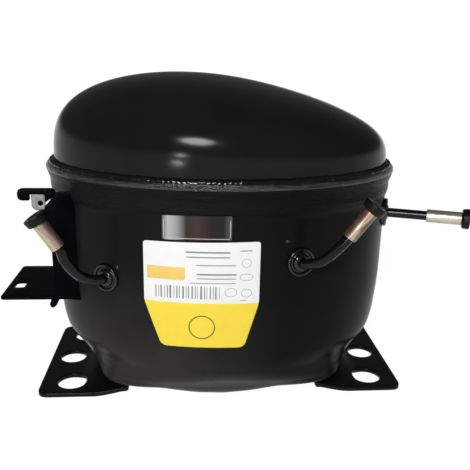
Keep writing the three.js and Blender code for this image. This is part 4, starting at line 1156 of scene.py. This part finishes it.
def floor_finish(lit_color, seen_share, strength):
    """A pale floor. Camera, gloss and glass rays see a share of plain white in it, and the rest keeps the
    shadow. The share grows to the whole with distance. From below it is clear, to show the underside."""
    material = bpy.data.materials.new("floor_white")
    material.use_nodes = True
    nodes, links = material.node_tree.nodes, material.node_tree.links
    shader = nodes["Principled BSDF"]
    shader.inputs["Base Color"].default_value = (*lit_color, 1)
    shader.inputs["Roughness"].default_value = 0.9
    shader.inputs["Specular IOR Level"].default_value = 0.0
    glow = nodes.new("ShaderNodeEmission")
    glow.inputs["Strength"].default_value = strength
    path = nodes.new("ShaderNodeLightPath")
    camera_ray, glossy_ray = path.outputs["Is Camera Ray"], path.outputs["Is Glossy Ray"]
    seen = joined_math(nodes, links, "MAXIMUM", camera_ray, glossy_ray)
    seen = joined_math(nodes, links, "MAXIMUM", seen, path.outputs["Is Transmission Ray"])
    distance = nodes.new("ShaderNodeVectorMath")
    distance.operation = "LENGTH"
    links.new(nodes.new("ShaderNodeTexCoord").outputs["Object"], distance.inputs[0])
    near, far = 0.4, 2.0
    share = ranged(nodes, links, distance.outputs["Value"], near, far, seen_share, 1.0)
    mix = nodes.new("ShaderNodeMixShader")
    links.new(joined_math(nodes, links, "MULTIPLY", seen, share.outputs[0]), mix.inputs["Fac"])
    links.new(shader.outputs[0], mix.inputs[1])
    links.new(glow.outputs[0], mix.inputs[2])
    clear = nodes.new("ShaderNodeMixShader")
    links.new(nodes.new("ShaderNodeNewGeometry").outputs["Backfacing"], clear.inputs["Fac"])
    links.new(mix.outputs[0], clear.inputs[1])
    links.new(nodes.new("ShaderNodeBsdfTransparent").outputs[0], clear.inputs[2])
    links.new(clear.outputs[0], nodes["Material Output"].inputs["Surface"])
    return material


def stage_piece(name, vertices, faces, material):
    """A plain mesh that belongs to the stage and not to the object."""
    mesh = bpy.data.meshes.new(name)
    mesh.from_pydata(vertices, [], faces)
    mesh.materials.append(material)
    piece = bpy.data.objects.new(name, mesh)
    bpy.context.scene.collection.objects.link(piece)


def floor():
    """A wide floor just under the feet."""
    size, drop = 30.0, -0.0003
    corners = [(-size, -size, drop), (size, -size, drop), (size, size, drop), (-size, size, drop)]
    finish = floor_finish((0.95, 0.95, 0.95), seen_share=0.86, strength=1.11)
    stage_piece("floor", corners, [(0, 1, 2, 3)], finish)


def studio(dim):
    """The world: a dim room that lights evenly, seen as white by the camera. Gloss and glass see that white
    too, up to a height above which the room's dark ceiling begins."""
    world = bpy.data.worlds.new("studio")
    bpy.context.scene.world = world
    world.use_nodes = True
    nodes, links = world.node_tree.nodes, world.node_tree.links
    room = nodes["Background"]
    room.inputs["Color"].default_value = (1, 1, 1, 1)
    room.inputs["Strength"].default_value = dim
    white = nodes.new("ShaderNodeBackground")
    white.inputs["Color"].default_value = (1, 1, 1, 1)
    white.inputs["Strength"].default_value = 1.0
    split = nodes.new("ShaderNodeSeparateXYZ")
    links.new(nodes.new("ShaderNodeTexCoord").outputs["Generated"], split.inputs[0])
    ceiling_starts = 0.14
    ceiling = ranged(nodes, links, split.outputs["Z"], 0.0, ceiling_starts, 1.0, 0.0)
    ceiling.interpolation_type = "SMOOTHSTEP"
    path = nodes.new("ShaderNodeLightPath")
    glossy_ray, glass_ray = path.outputs["Is Glossy Ray"], path.outputs["Is Transmission Ray"]
    gloss = joined_math(nodes, links, "MAXIMUM", glossy_ray, glass_ray)
    gloss = joined_math(nodes, links, "MULTIPLY", gloss, ceiling.outputs[0])
    seen = joined_math(nodes, links, "MAXIMUM", gloss, path.outputs["Is Camera Ray"])
    mix = nodes.new("ShaderNodeMixShader")
    links.new(seen, mix.inputs["Fac"])
    links.new(room.outputs[0], mix.inputs[1])
    links.new(white.outputs[0], mix.inputs[2])
    links.new(mix.outputs[0], nodes["World Output"].inputs["Surface"])


def softbox(name, place, target, size, power):
    """An oval lamp at a place in metres, turned to its target."""
    light = bpy.data.lights.new(name, "AREA")
    light.shape = "ELLIPSE"
    light.size, light.size_y = size
    light.energy = power
    lamp = bpy.data.objects.new(name, light)
    lamp.location = place
    aim = Vector(target) - Vector(place)
    lamp.rotation_euler = aim.to_track_quat("-Z", "Y").to_euler()
    bpy.context.scene.collection.objects.link(lamp)


LENS_LENGTH, SENSOR_WIDTH = 47.068085, 36.0
CAMERA_PLACE = (-19.46, -346.77, 184.26)
YAW, PITCH, ROLL = np.radians([4.581, 16.678, 1.204])


def camera():
    """The view: a yaw to the right, a pitch down, then a roll about the line of sight."""
    ahead = np.array([np.sin(YAW) * np.cos(PITCH), np.cos(YAW) * np.cos(PITCH), -np.sin(PITCH)])
    right = np.array([np.cos(YAW), -np.sin(YAW), 0])
    up = np.cross(right, ahead)
    right, up = np.cos(ROLL) * right + np.sin(ROLL) * up, np.cos(ROLL) * up - np.sin(ROLL) * right
    lens = bpy.data.cameras.new("camera")
    lens.sensor_width = SENSOR_WIDTH
    lens.lens = LENS_LENGTH
    lens.clip_start = 0.01
    eye = bpy.data.objects.new("camera", lens)
    place = placed([CAMERA_PLACE])[0]
    basis = np.eye(4)
    basis[:3, 0], basis[:3, 1], basis[:3, 2], basis[:3, 3] = right, up, -ahead, place
    eye.matrix_world = Matrix(basis.tolist())
    bpy.context.scene.collection.objects.link(eye)
    bpy.context.scene.camera = eye


floor()
studio(dim=0.12)
softbox("key", (-0.24, -1.02, 0.63), (0, 0, 0.12), (0.34, 0.24), 9.5)
softbox("low_one", (-0.43, -1.08, 0.2), (0, 0, 0.14), (0.1, 0.04), 1.0)
softbox("low_two", (-0.46, -1.07, 0.05), (0, 0, 0.14), (0.12, 0.04), 1.0)
camera()
bpy.context.scene.view_settings.view_transform = "Standard"
